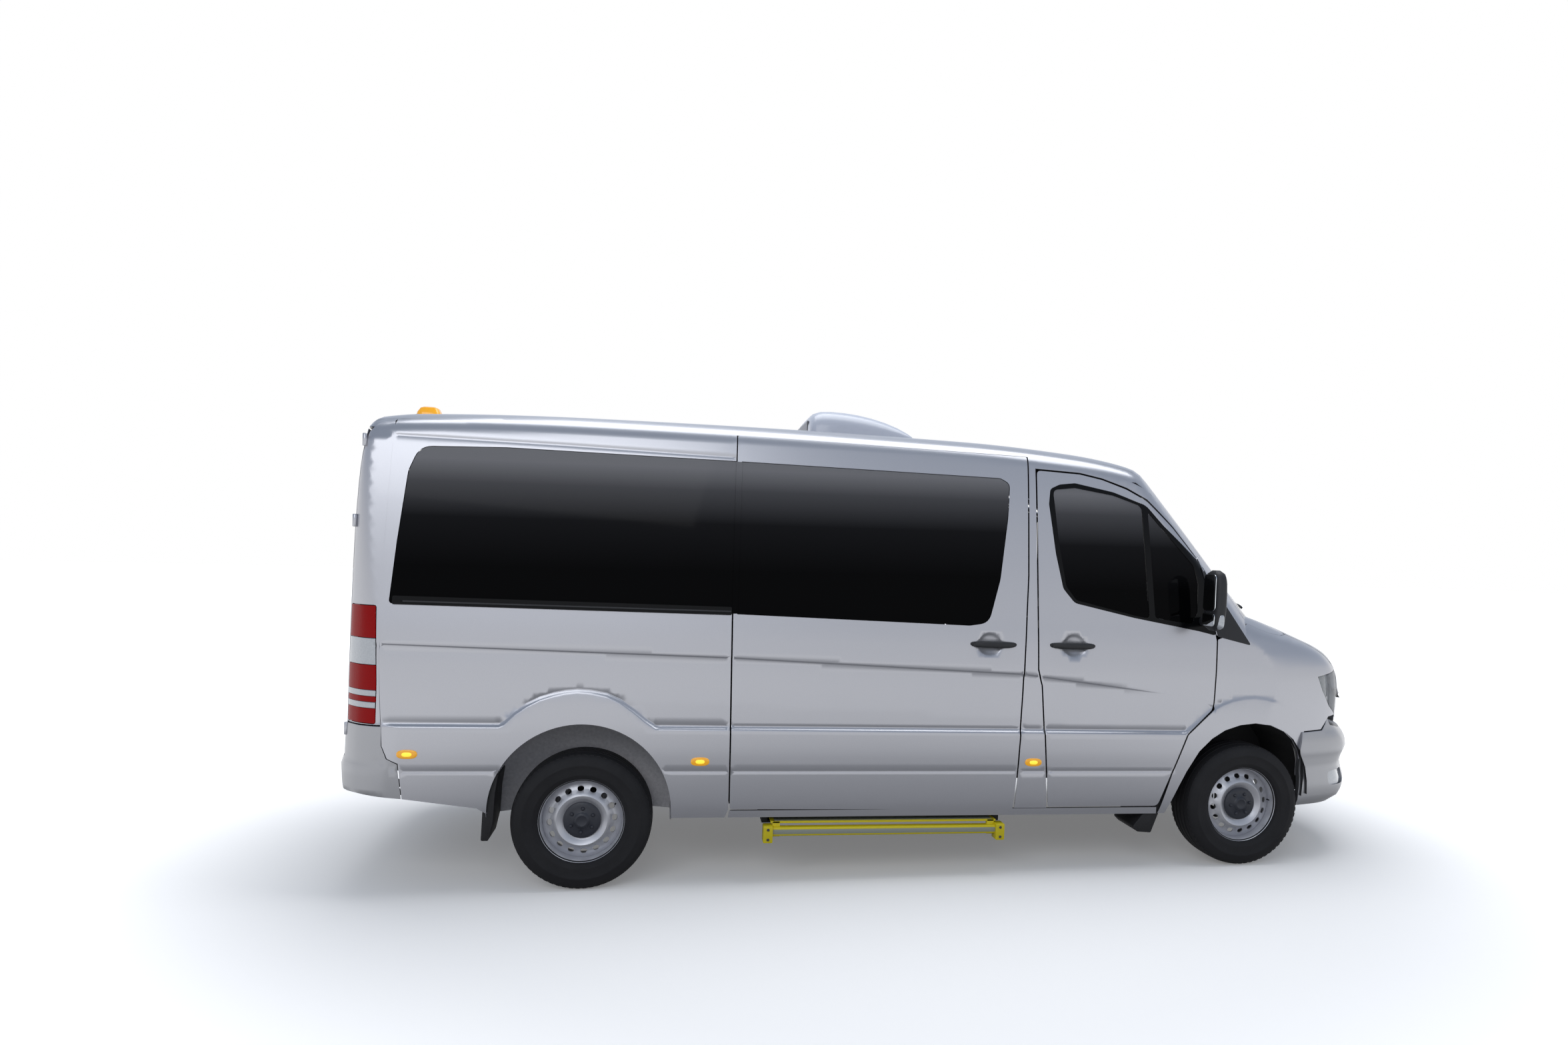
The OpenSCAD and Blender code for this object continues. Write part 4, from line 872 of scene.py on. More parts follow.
for side, word in ((-1, "right"), (1, "left")):
    def flip(loop):
        return [(side * u, z) for u, z in loop]
    rearBody = f"rear_door_{word}"
    edge = [(backU(820, z), z) for z in (doorZ, 1000, 1400, 1800, 2100, doorTopZ)]
    leaf = rounded([(3, doorZ)] + edge + [(3, doorTopZ)], [10, 20, 0, 0, 0, 60, 30, 10])
    pane = rounded([(92, 1430), (backU(738, 1430), 1420), (backU(722, 2090), 2110), (96, 2130)],
                   [50, 70, 70, 50])
    panel(f"rear_door_skin_{word}", flip(leaf), rearRays, saloonSkin, body=rearBody,
          nodes=(f"rear_door_{word}",), holes=[flip(grow(pane, 2))],
          lines=[flip([(20, z), (770, z)]) for z in (1200, 1187, 803, 790)], step=34)
    panel(f"rear_door_glass_{word}", flip(pane), rearRays, saloonSkin, body=rearBody,
          nodes=(f"rear_door_window_{word}",), materials=[saloonGlass], thick=5, deep=1.5, step=40)
    # tail lamp in three lenses
    def band(low, high, inn=0):
        ins = [(np.interp(z, [q[1] for q in lampIn[::-1]], [q[0] for q in lampIn[::-1]]), z)
               for z in np.linspace(high, low, 6)]
        outs = [(np.interp(z, [q[1] for q in lampOut], [q[0] for q in lampOut]), z)
                for z in np.linspace(low, high, 6)]
        return flip([(u + 1.5, z) for u, z in ins] + [(u - 1.5, z) for u, z in outs])
    lenses = [("upper", 1229, lampHigh - 2, redLens, "lamp_red"), ("middle", 1099, 1226, clearLens,
                                                                   "lamp_clear"),
              ("stop", 976, 1096, redLens, "lamp_red"), ("bar_upper", 946, 974, clearLens,
                                                         "lamp_clear"),
              ("bar_gap", 918, 944, redLens, "lamp_red"), ("bar_lower", 888, 916, clearLens,
                                                           "lamp_clear"),
              ("lower", lampLow + 2, 886, redLens, "lamp_red")]
    for name, low, high, lens, slotName in lenses:
        panel(f"tail_lamp_{name}_{word}", band(low, high), rearRays, lambda p: saloonSkin(p) - 2.5,
              materials=[lens], thick=14, step=22, lip=4,
              nodes=("tail_lamps",) if (side < 0 and name == "upper") else ())
print("back")

# rear bumper wraps round from one arch to the other


def bumpU(x, z):
    return acrossAt(x, z, 0, rearRays, rearBumperSkin, 700, 1330, 400)


halfBump = [(bumpU(-2676, 803), 801), (bumpU(-2675, 708), 708), (bumpU(-2649, 643), 644),
            (bumpU(-2598, 618), 618), (bumpU(-2578, 445), 447)]
halfBump = [(backU(829, 801), 801)] + halfBump + [(bumpU(-2806, 480), 470), (560, 452), (0, 452)]
otherHalf = [(-u, z) for u, z in halfBump[::-1][1:]]
bumpLoop = [(0, 628), (backU(829, 640), 628)] + halfBump + otherHalf + [(-backU(829, 640), 628)]
bumpLoop = [q for i, q in enumerate(bumpLoop) if math.dist(q, bumpLoop[i - 1]) > 2]
panel("rear_bumper_skin", bumpLoop, rearRays, rearBumperSkin, nodes=("rear_bumper",),
      materials=[bumperPaint, blackPlastic], step=30, lines=[[(-1300, 590), (1300, 590)]])

# windscreen, bonnet, grille and front bumper
glassLoop = rounded([(835, -390), (640, 612), (-640, 612), (-835, -390)], [60, 90, 90, 60], 8)
panel("windscreen_glass", glassLoop, screenRays, saloonSkin, nodes=("windscreen",),
      materials=[screenGlass], thick=6, deep=2, step=60)
outer = []
for x, z in [q for q in topSeam if q[0] >= 1400]:
    p = land([(x, z)], sideRays(1), saloonSkin)[0]
    outer.append((p[1], float(p @ screenUp)))
outer = [(roofSide[-1][1] - 8, headerB + 2)] + [q for q in outer if q[1] < headerB - 8]
outer += [(935, -432)]
ring = outer + [(-y, b) for y, b in outer[::-1]]
panel("screen_surround", ring, screenRays, saloonSkin, nodes=("windscreen_frame",),
      holes=[grow(glassLoop, 2)], step=30)
panel("screen_frit", grow(glassLoop, -1), screenRays, saloonSkin,
      materials=[glossBlack],
      holes=[rounded([(780, -300), (590, 560), (-590, 560), (-780, -300)], [60, 70, 70, 60], 8)],
      thick=1.5, deep=9, step=50)
bonnetHalf = [(2264, 1), (2264, 767), (2560, 741), (2690, 700), (2752, 640), (2800, 540), (2830, 380),
              (2846, 200),
              (2850, 1)]
bonnetLoop = rounded([(x, y) for x, y in bonnetHalf[1:-1]] + [(x, -y) for x,
                                                              y in bonnetHalf[1:-1][::-1]], 40)
panel("bonnet_skin", bonnetLoop, topRays, noseSkin, body="bonnet", nodes=("bonnet",), step=36,
      lines=[[(2290, s * 430), (2560, s * 400), (2790, s * 300)] for s in (-1, 1)])
grilleLoop = rounded([(598, 806), (598, 1128), (300, 1138), (-300, 1138), (-598, 1128), (-598, 806)],
                     [20, 40, 80, 80, 40, 20])
grilleHole = rounded([(430, 840), (510, 1088), (0, 1104), (-510, 1088), (-430, 840)],
                     [30, 40, 20, 40, 30])
panel("grille_frame", grilleLoop, frontRays, noseSkin, nodes=("grille_panel",),
      holes=[grilleHole], step=30, materials=[silverPaint, blackPlastic])
panel("grille_back", grow(grilleHole, 10), frontRays, lambda p: noseSkin(p) + 40,
      materials=[grilleDark], thick=6, step=40)
for i, z in enumerate((880, 935, 990, 1045)):
    half = np.interp(z, [840, 1088], [430, 510]) + 4
    panel(f"grille_bar_{i + 1}", [(half, z - 15), (half, z + 15), (-half, z + 15), (-half, z - 15)],
          frontRays,
          lambda p: noseSkin(p) + 8, materials=[silverPaint], thick=16, step=20,
          lip=3)


def noseU(x, z):
    return acrossAt(x, z, 0, noseRays, bumperSkin, 0, 900, 500, -1)


bumpHalf = [(0, 797), (noseU(2700, 797), 797), (noseU(2560, 830), 826),
            (noseU(2540, 876), 870), (noseU(2476, 803), 802),
            (noseU(2312, 798), 798), (noseU(2292, 700), 700),
            (noseU(2297, 640), 640), (noseU(2300, 536), 536),
            (noseU(2294, 447), 447), (noseU(2288, 372), 372), (noseU(2640, 362), 362), (0, 362)]
intake = rounded([(330, 430), (400, 560), (0, 566), (-400, 560), (-330, 430), (0, 424)],
                 [20, 40, 10, 40, 20, 10])
fog = rounded([(470, 470), (600, 476), (600, 560), (470, 560)], 26)
loop = bumpHalf[1:-1] + [(-u, z) for u, z in bumpHalf[1:-1][::-1]]
panel("front_bumper_skin", loop, noseRays, bumperSkin, nodes=("front_bumper",),
      materials=[bumperPaint, blackPlastic], holes=[intake, fog, [(-u, z) for u, z in fog]], step=26,
      lines=[[(-860, z), (860, z)] for z in (478, 590, 690, 735)])
panel("intake_mesh", grow(intake, 8), noseRays, lambda p: bumperSkin(p) + 26,
      materials=[grilleDark], thick=6, step=40)
for side, word in ((-1, "right"), (1, "left")):
    panel(f"fog_lamp_{word}", [(side * u, z) for u, z in grow(fog, 2)], noseRays,
          lambda p: bumperSkin(p) + 16,
          materials=[clearLens], thick=8, step=24)
print("front")

# Small shapes: skins between rings, turned profiles, extruded outlines


def faceOut(o, gap=None):
    # doubles nearer than the gap are merged, and then every face is turned outwards
    bm = bmesh.new()
    bm.from_mesh(o.data)
    if gap:
        bmesh.ops.remove_doubles(bm, verts=bm.verts, dist=gap)
    bmesh.ops.recalc_face_normals(bm, faces=bm.faces)
    bm.to_mesh(o.data)
    bm.free()


def loft(name, rings, materials, capped=True, inRow=False, closed=True):
    rings = np.asarray(rings, float)
    n, m = rings.shape[:2]
    last = m if closed else m - 1
    faces = [(i * m + j, i * m + (j + 1) % m, (i + 1) * m + (j + 1) % m, (i + 1) * m + j)
             for i in range(n - 1) for j in range(last)]
    if capped:
        faces += [tuple(range(m))[::-1], tuple((n - 1) * m + j for j in range(m))]
    flat = rings.reshape(-1, 3)
    o = meshObject(name, flat / 1000 if inRow else place(flat), faces, materials)
    faceOut(o, 1e-5)
    return o


def oval(a, b, power=2.0, n=32):
    t = np.linspace(0, 2 * math.pi, n, endpoint=False)
    c, s = np.cos(t), np.sin(t)
    return (a * np.sign(c) * np.abs(c) ** (2 / power), b * np.sign(s) * np.abs(s) ** (2 / power))


def prism(name, outline, axis, low, high, materials, bevel=2.0, segments=2, inRow=False, angle=35):
    # outline in the two other axes, pushed along an axis, with worn edges
    order = {"x": lambda u, v, w: (w, u, v), "y": lambda u, v, w: (u, w, v), "z": lambda u, v,
             w: (u, v, w)}[axis]
    rings = [[order(u, v, w) for u, v in outline] for w in (low, high)]
    o = loft(name, rings, materials, inRow=inRow)
    if bevel:
        edge = o.modifiers.new("edge", "BEVEL")
        edge.width, edge.segments, edge.limit_method = bevel / 1000, segments, "ANGLE"
        edge.angle_limit = math.radians(30)
        applyAll(o)
    shade(o, angle)
    return o


def turned(name, profile, segments, materials, closed=False):
    # profile of (radius, height) turned about the local Z axis, in millimetres
    rings = []
    for i in range(segments):
        a = 2 * math.pi * i / segments
        rings.append([(r * math.cos(a), r * math.sin(a), h) for r, h in profile])
    rings = np.array(rings)
    n, m = rings.shape[:2]
    faces = [(i * m + j, ((i + 1) % n) * m + j, ((i + 1) % n) * m + j + 1, i * m + j + 1)
             for i in range(n) for j in range(m - 1)]
    if closed:
        faces += [(i * m + m - 1, ((i + 1) % n) * m + m - 1, ((i + 1) % n) * m,
                   i * m) for i in range(n)]
    o = meshObject(name, rings.reshape(-1, 3) / 1000, faces, materials)
    faceOut(o, 1e-6)
    return o


def tree(name, sizes):
    t = bpy.data.node_groups.new(name, "GeometryNodeTree")
    t.interface.new_socket("Geometry", in_out="INPUT", socket_type="NodeSocketGeometry")
    t.interface.new_socket("Geometry", in_out="OUTPUT", socket_type="NodeSocketGeometry")
    for key, kind in sizes:
        t.interface.new_socket(key, in_out="INPUT", socket_type=kind)
    return t, t.nodes.new("NodeGroupInput"), t.nodes.new("NodeGroupOutput")


def repeatTree(name, aroundAxis):
    # copies of the host mesh round the local Z axis, or in a row
    t, given, result = tree(name, [("Count", "NodeSocketInt"), ("Radius", "NodeSocketFloat"),
                                   ("Step", "NodeSocketVector"), ("Finish", "NodeSocketMaterial")])
    if aroundAxis:
        line = addNode(t, "GeometryNodeMeshCircle", {"Vertices": given.outputs["Count"],
                                                     "Radius": given.outputs["Radius"]})
        share = addNode(t, "ShaderNodeMath", operation="DIVIDE")
        t.links.new(addNode(t, "GeometryNodeInputIndex").outputs[0], share.inputs[0])
        t.links.new(given.outputs["Count"], share.inputs[1])
        angle = addNode(t, "ShaderNodeMath", operation="MULTIPLY")
        t.links.new(share.outputs[0], angle.inputs[0])
        angle.inputs[1].default_value = 2 * math.pi
        spin = addNode(t, "ShaderNodeCombineXYZ", {"Z": angle.outputs[0]}).outputs[0]
    else:
        line = addNode(t, "GeometryNodeMeshLine", {"Count": given.outputs["Count"],
                                                   "Offset": given.outputs["Step"]}, mode="OFFSET")
        spin = None
    copies = addNode(t, "GeometryNodeInstanceOnPoints", {"Points": line.outputs["Mesh"],
                                                         "Instance": given.outputs["Geometry"]})
    if spin:
        t.links.new(spin, copies.inputs["Rotation"])
    real = addNode(t, "GeometryNodeRealizeInstances", {"Geometry": copies.outputs["Instances"]})
    coated = addNode(t, "GeometryNodeSetMaterial", {"Geometry": real.outputs["Geometry"],
                                                    "Material": given.outputs["Finish"]})
    t.links.new(coated.outputs["Geometry"], result.inputs["Geometry"])
    return t


ringTree, rowTree = repeatTree("ring", True), repeatTree("row", False)


def repeated(o, around, count, finishing, radius=0.0, step=(0, 0, 0)):
    t = ringTree if around else rowTree
    m = o.modifiers.new("copies", "NODES")
    ids = {s.name: s.identifier for s in t.interface.items_tree if s.in_out == "INPUT"}
    m.node_group = t
    m[ids["Count"]], m[ids["Radius"]], m[ids["Step"]] = count, radius / 1000, [v / 1000 for v in step]
    m[ids["Finish"]] = finishing
    applyAll(o)
    return o


def moved(o, matrix):
    o.data.transform(matrix)
    o.data.update()
    return o


def joined(name, objects):
    # several meshes as one, keeping their materials
    bm = bmesh.new()
    mats = []
    for o in objects:
        at = []
        for m in o.data.materials:
            if m not in mats:
                mats.append(m)
            at.append(mats.index(m))
        n = len(bm.faces)
        bm.from_mesh(o.data)
        bm.faces.ensure_lookup_table()
        for f in bm.faces[n:]:
            f.material_index = at[f.material_index] if at else 0
    me = bpy.data.meshes.new(name)
    bm.to_mesh(me)
    bm.free()
    for m in mats:
        me.materials.append(m)
    new = bpy.data.objects.new(name, me)
    scene.collection.objects.link(new)
    for o in objects:
        bpy.data.objects.remove(o)
    return new


pitchDown = Matrix.Rotation(rake, 4, "Y")

# Wheels

wheel = {"rearX": -1722, "frontX": 1943, "y": 858, "r": 350, "vents": 16, "ventR": 161, "nuts": 6,
         "nutR": 60, "lugs": 64}
tyreSide = [(212, 84), (216, 99), (222, 106), (236, 111), (239, 113.2), (243, 113.2), (246, 113.4),
            (262, 116),
            (283, 117.4), (286, 119), (292, 119), (295, 117.2), (308, 114.5), (322, 109), (333, 102),
            (341, 93), (345.5, 82), (347.5, 70), (348.4, 64), (340, 62.5), (340, 54), (348.8, 52),
            (349.4, 38),
            (349.6, 26), (341, 24.5), (341, 15.5), (349.7, 14), (350, 0)]
tyreProfile = tyreSide + [(r, -h) for r, h in tyreSide[::-1][1:]] + [(206, -84), (206, 84)]
discFace = curve([(40, 57), (92, 57), (103, 63), (114, 73), (126, 78), (138, 73), (148, 61), (161, 55),
                  (176, 50), (188, 42), (198, 33)])


def wheelDisc():
    # pressed disc with a ring of vent holes
    rim = [(198 * math.cos(a), 198 * math.sin(a)) for a in np.linspace(0, 2 * math.pi, 72,
                                                                       endpoint=False)]
    holes = [[(42 * math.cos(a), 42 * math.sin(a)) for a in np.linspace(0, 2 * math.pi, 28,
                                                                        endpoint=False)]]
    for i in range(wheel["vents"]):
        a = 2 * math.pi * i / wheel["vents"]
        ux, uy = oval(13.5, 16.5, 2.2, 16)
        holes.append([(math.cos(a) * (wheel["ventR"] + u) - math.sin(a) * v,
                       math.sin(a) * (wheel["ventR"] + u) + math.cos(a) * v) for u, v in zip(ux, uy)])
    verts, edges = [], []
    loops = [rim] + holes + [[(r * math.cos(a), r * math.sin(a)) for a in np.linspace(0, 2 * math.pi,
                                                                                      n, endpoint=False)]
                             for r, n in ((186, 64), (139, 60), (126, 56), (114, 52), (103, 48),
                                          (92, 40), (70, 32))]
    for loop in loops:
        n = len(verts)
        verts += loop
        edges += [(n + i, n + (i + 1) % len(loop)) for i in range(len(loop))]
    got = delaunay_2d_cdt([Vector(v) for v in verts], edges, [], 0, 1e-4, True)
    flat = np.array([tuple(v) for v in got[0]])
    tris = np.array(got[2])
    mid = flat[tris].mean(1)
    keep = np.hypot(*mid.T) < 198
    for h in holes:
        keep &= ~within(mid, h)
    p = np.stack([flat[:, 0], flat[:, 1], discFace(np.hypot(*flat.T))], -1)
    tris = tris[keep]
    used = np.unique(tris)
    index = np.full(len(p), -1)
    index[used] = np.arange(len(used))
    o = meshObject("disc", p[used] / 1000, index[tris], [wheelEnamel])
    wall = o.modifiers.new("wall", "SOLIDIFY")
    wall.thickness, wall.offset = 0.005, -1
    applyAll(o)
    return o


def makeRim():
    flange = turned("flange", [(198, 30), (200, 52), (202, 66), (206, 78), (212, 86), (216, 92),
                               (220, 95),
                               (221.5, 92), (219, 86), (214, 80), (209, 70), (205, 56), (203, 30),
                               (201, -40),
                               (206, -72), (213, -84), (220, -93), (216, -94), (208, -84), (198, -70),
                               (195, -40),
                               (194, 30)], 96, [wheelEnamel], closed=True)
    cap = turned("cap", [(44, 40), (93, 57), (93.5, 62), (91, 68), (84, 72), (70, 74), (44, 76),
                         (40, 79), (36, 83),
                         (27, 85), (24, 83.5), (0.01, 83.5)], 64, [capPlastic])
    nut = turned("nut", [(0.01, 10), (6, 9), (9, 6), (10.5, 0), (10.5, -6)], 12, [capPlastic])
    repeated(nut, True, wheel["nuts"], capPlastic, radius=wheel["nutR"])
    moved(nut, Matrix.Translation((0, 0, 0.073)))
    valve = turned("valve", [(0.01, 22), (3, 22), (4, 10), (4, 0)], 10, [rubberSeal])
    moved(valve, Matrix.Translation((0.182, 0, 0.055)))
    o = joined("rim", [wheelDisc(), flange, cap, nut, valve])
    shade(o, 36)
    return o


def makeTyre():
    body = turned("carcass", tyreProfile, 128, [tyreRubber], closed=True)
    lugs = []
    for s in (1, -1):
        # shoulder lugs, one each 5.6 degrees
        lug = prism("lug", [(-10, 333), (10, 333), (10, 347), (-10, 347)], "z", 66, 96, [tyreRubber],
                    bevel=0,
                    inRow=True)
        me = lug.data
        for v in me.vertices:
            z = v.co.z
            if z > 0.09:
                v.co.y -= 0.004
            v.co.z *= s
            v.co.x, v.co.y = v.co.y, v.co.x
        lug.data.transform(Matrix.Translation((-0.001, 0, 0)))
        repeated(lug, True, wheel["lugs"], tyreRubber, radius=0.01)
        faceOut(lug)
        lugs.append(lug)
    o = joined("tyre", [body] + lugs)
    shade(o, 40)
    return o


rimShape, tyreShape = makeRim(), makeTyre()
for end in ("front", "rear"):
    for side, word in ((-1, "right"), (1, "left")):
        centre = Vector((wheel[f"{end}X"], side * wheel["y"], wheel["r"])) / 1000
        turn = Matrix.Translation(centre) @ Matrix.Rotation(math.radians(-90 * side), 4,
                                                            "X") @ Matrix.Rotation(
            0.35 * (end == "rear") + 0.1, 4, "Z")
        for part, shapeObject, slotName in (("rim", rimShape, "wheel_silver"),
                                            ("tyre", tyreShape, "tyre")):
            o = bpy.data.objects.new(f"{part}_{end}_{word}_detail", shapeObject.data.copy())
            scene.collection.objects.link(o)
            moved(o, turn)
            attach(o, f"wheel_{end}_{word}", (f"{part}_{end}_{word}",))
bpy.data.objects.remove(rimShape)
bpy.data.objects.remove(tyreShape)
print("wheels")

# Things on the sides


def archWall(name, edge, centre, side, ys, material):
    # inner wall of a wheel arch: a ring of faces from its edge towards its centre
    y, innerY = ys
    near = [(p[0] * 0.2 + centre[0] * 0.8, side * innerY, p[1] * 0.2 + centre[1] * 0.8) for p in edge]
    return loft(name, [[(p[0], side * y, p[1]) for p in edge], near], [material], capped=False,
                closed=False)


for side, word in ((-1, "right"), (1, "left")):
    # pull handles bridge their cups
    for name, (cx, cz) in cupPlaces.items():
        if name == "sliding" and side > 0:
            continue
        mid, half = (401, 131) if name == "sliding" else (856, 133)
        skinY = abs(land([(mid, cz)], sideRays(side), saloonSkin)[0][1])
        rings = []
        for t in np.linspace(-1, 1, 25):
            x = mid + half * t
            lift = 12 + 34 * max(0.0, 1 - t ** 4)
            height = 6 + 12.5 * max(0.0, 1 - abs(t) ** 3.2) ** 0.6
            deep = 5 + 6 * max(0.0, 1 - t ** 4)
            u, v = oval(deep, height, 2.4, 20)
            rings.append([(x, side * (skinY + lift + a - deep + 3), cz + b) for a, b in zip(u, v)])
        grip = loft(f"grip_{name}_{word}", rings, [blackPlastic])
        posts = []
        for t in (-0.8, 0.8):
            u, v = oval(20, 13, 2.6, 20)
            posts.append(loft("post", [[(mid + half * t + a * k, side * (skinY + w), cz + b * k)
                                        for a, b in zip(u, v)] for w, k in ((-16, 1.15), (0, 1.0),
                                                                            (32, 0.8))],
                              [blackPlastic]))
        o = joined(f"handle_{name}_{word}", [grip] + posts)
        shade(o, 40)
        attach(o, "body" if name == "sliding" else f"front_door_{word}")
    # amber side marker lamps
    for i, (x, z) in enumerate([(-2553, 669), (-1148, 635), (648, 633)]):
        parts = []
        for a, b, lift, lens in ((47, 22, 7, amberLens), (24, 11, 9.5, amberCore)):
            u, v = oval(a, b, 2.6, 36)
            rows = []
            for k, h in ((1.0, -3), (1.0, 0.55), (0.93, 0.85), (0.75, 0.98), (0.4, 1.03), (0.03, 1.04)):
                pts = np.stack([x + u * k, z + v * k], -1)
                p = land(pts, sideRays(side), saloonSkin)
                p[:, 1] += side * (h if h < 0 else h * lift)
                rows.append(p)
            parts.append(loft("lens", rows, [lens]))
        o = joined(f"side_marker_{i + 1}_{word}", parts)
        shade(o, 50)
        attach(o, "body")
    # door mirror
    m = {"x": 1604, "y": 1107, "low": 1390, "high": 1721}
    rings = []
    for t in np.linspace(0, 1, 19):
        z = m["low"] + (m["high"] - m["low"]) * t
        pinch = (1 - abs(2 * t - 1) ** 5) ** 0.5
        a, b = 12 + 24 * pinch, 28 + 52 * pinch
        u, v = oval(a, b, 3.2, 36)
        rings.append([(m["x"] + q + 6 * math.sin(t * 3) - 4, side * (m["y"] + w + 14), z) for q,
                      w in zip(u, v)])
    head = loft("head", rings, [blackPlastic])
    rings = []
    for t in np.linspace(0, 1, 9):
        y = 905 + 140 * t
        u, v = oval(30 - 6 * t, 24 + 4 * t, 2.8, 20)
        rings.append([(1650 - 26 * t + q, side * y, 1428 + 8 * t + w) for q, w in zip(u, v)])
    arm = loft("arm", rings, [blackPlastic])
    o = joined(f"mirror_housing_{word}", [head, arm])
    shade(o, 45)
    attach(o, f"front_door_{word}", (f"mirror_{word}",))
    rings = []
    for t in np.linspace(0, 1, 11):
        z = 1402 + 92 * t
        k = (1 - abs(2 * t - 1) ** 4) ** 0.5
        u, v = oval(8 + 12 * k, 10 + 42 * k, 2.8, 24)
        rings.append([(m["x"] + q, side * (m["y"] + 68 + w * 0.55), z) for q, w in zip(u, v)])
    o = loft(f"mirror_indicator_{word}", rings, [clearLens])
    shade(o, 50)
    attach(o, f"front_door_{word}")
    glassLine = rounded([(m["y"] - 48, 1500), (m["y"] + 78, 1500), (m["y"] + 74, 1698),
                         (m["y"] - 44, 1698)], 26)
    lowLine = rounded([(m["y"] - 46, 1416), (m["y"] + 72, 1416), (m["y"] + 76, 1486),
                       (m["y"] - 48, 1486)], 20)
    panes = [prism("pane", [(side * y, z) for y, z in line], "x", m["x"] - 38, m["x"] - 32,
                   [mirrorGlass], bevel=1)
             for line in (glassLine, lowLine)]
    o = joined(f"mirror_panes_{word}", panes)
    shade(o)
    attach(o, f"front_door_{word}")
    # mud flaps
    rearFlap = prism("rearFlap", rounded([(-2163, 584), (-2134, 560), (-2146, 470), (-2152, 330),
                                          (-2172, 232),
                                          (-2207, 232), (-2203, 372), (-2188, 440)], 8), "y",
                                          side * 742, side * 962,
                     [underbodyBlack], bevel=4)
    frontFlap = prism("frontFlap", rounded([(1512, 590), (1470, 590), (1416, 450), (1372, 352),
                                            (1322, 330),
                                            (1268, 262), (1300, 232), (1380, 226), (1430, 360),
                                            (1478, 470)], 10),
                      "y", side * 700, side * 950,
                      [underbodyBlack], bevel=4)
    o = joined(f"mud_flaps_{word}", [rearFlap, frontFlap])
    attach(o, "body", ("mud_flaps",) if side < 0 else ())
    # wheel arch linings
    arch = np.array(archLoop(3))
    arch = np.concatenate([[(-2182, 372)], arch, [(-1288, 372)]])
    ribs = []
    cx, cz, r = rearArch["x"], rearArch["z"], rearArch["r"]
    for i, y in enumerate(np.linspace(958, 706, 22)):
        rib = 5 if i % 4 == 2 else 0
        ribs.append([(cx + (p[0] - cx) * (1 - rib / r), side * y, cz + (p[1] - cz) * (1 - rib / r))
                     for p in arch])
    lining = loft("rearLining", ribs, [archSteel], capped=False, closed=False)
    wallFan = archWall("rearWall", arch, (cx, 372), side, (706, 700), archSteel)
    o = joined(f"rear_arch_lining_{word}", [lining, wallFan])
    shade(o, 50)
    attach(o, "body")
    archPts = spaced([(1412, 340), (1450, 343), (1521, 497), (1563, 583), (1632, 697), (1708, 771),
                      (1786, 819), (1880, 849),
                      (1975, 860), (2072, 848), (2172, 809), (2234, 761), (2280, 697), (2304, 616),
                      (2311, 536),
                      (2304, 430)], 30, False)
    sweep = spaced([(1452, 352), (1500, 500), (1560, 640), (1640, 740), (1730, 810), (1830, 848),
                    (1943, 862),
                    (2060, 850), (2160, 815), (2236, 762), (2290, 690), (2330, 600), (2346, 520),
                    (2350, 440)],
                   30, False)
    rings = [[(p[0] + 2, side * y, p[1] + 2) for p in archPts] for y in (960, 935)]
    lip = loft("frontLining", rings, [underbodyBlack], capped=False, closed=False)
    room = loft("frontRoom", [[(p[0], side * y, p[1]) for p in sweep]
                              for y in (948, 800, 660, frontArch["wallY"])],
                [underbodyBlack], capped=False, closed=False)
    inner = archWall("frontWall", sweep, (frontArch["x"], frontArch["z"]), side,
                     (frontArch["wallY"], frontArch["wallY"] - 4), underbodyBlack)
    o = joined(f"front_arch_lining_{word}", [lip, room, inner])
    shade(o, 50)
    attach(o, "body")
print("side details")

# rail of the sliding door, under the rear window
railLine = rounded([(-2648, 1394), (-1013, 1388), (-1013, 1430), (-2648, 1436)], 8)
panel("slide_rail", railLine, sideRays(-1), lambda p: saloonSkin(p) - 6,
      nodes=("sliding_door_rail",), materials=[glossBlack], thick=12, step=20, lip=3)
panel("slide_rail_slot", [(-2600, 1407), (-1015, 1403), (-1015, 1411), (-2600, 1415)], sideRays(-1),
      lambda p: saloonSkin(p) - 7.5, materials=[blackPlastic], thick=4, step=20,
      lip=1)

# side step
barLine = rounded([(-924, 240), (-924, 286), (-974, 286), (-974, 240)], 9, 4)
bar = prism("bar", barLine, "x", -790, 480, [yellowCoat], bevel=1)
strip = prism("strip", [(-973, 251), (-973, 275), (-976.5, 275), (-976.5, 251)], "x", -762, 452,
              [gripStrip], bevel=0.8)
tray = prism("tray", [(-950, 302), (-640, 302), (-640, 313), (-950, 313)], "x", -770, 460,
             [yellowCoat], bevel=1.5)
topGrip = prism("topGrip", [(-940, 313), (-650, 313), (-650, 315), (-940, 315)], "x", -750, 440,
                [gripStrip], bevel=0)
stepParts = [bar, strip, tray, topGrip]
for x0, s in ((-811, 1), (451, -1)):
    stepParts.append(prism("block", rounded([(x0, 208), (x0 + 50, 208), (x0 + 50, 296), (x0, 296)], 7),
                           "y", -990,
                           -918, [yellowCoat], bevel=3))
    stepParts.append(prism("hanger", [(x0 + (50 if s > 0 else -40), 232),
                                      (x0 + (90 if s > 0 else 0), 232),
                                      (x0 + (90 if s > 0 else 0), 313),
                                      (x0 + (50 if s > 0 else -40), 313)], "y",
                           -950, -926, [yellowCoat], bevel=2))
    bolt = turned("bolt", [(0.01, 4), (6, 4), (8, 2.5), (8, -1)], 6, [castMetal])
    moved(bolt, Matrix.Rotation(math.radians(90), 4, "X"))
    repeated(bolt, False, 2, castMetal, step=(0, 0, 52))
    moved(bolt, pitchDown @ Matrix.Translation((x0 / 1000 + 0.025, -0.990, 0.226)))
    stepParts.append(bolt)
o = joined("step_tread", stepParts)
shade(o, 35)
attach(o, "side_step", ("side_step_tread",))
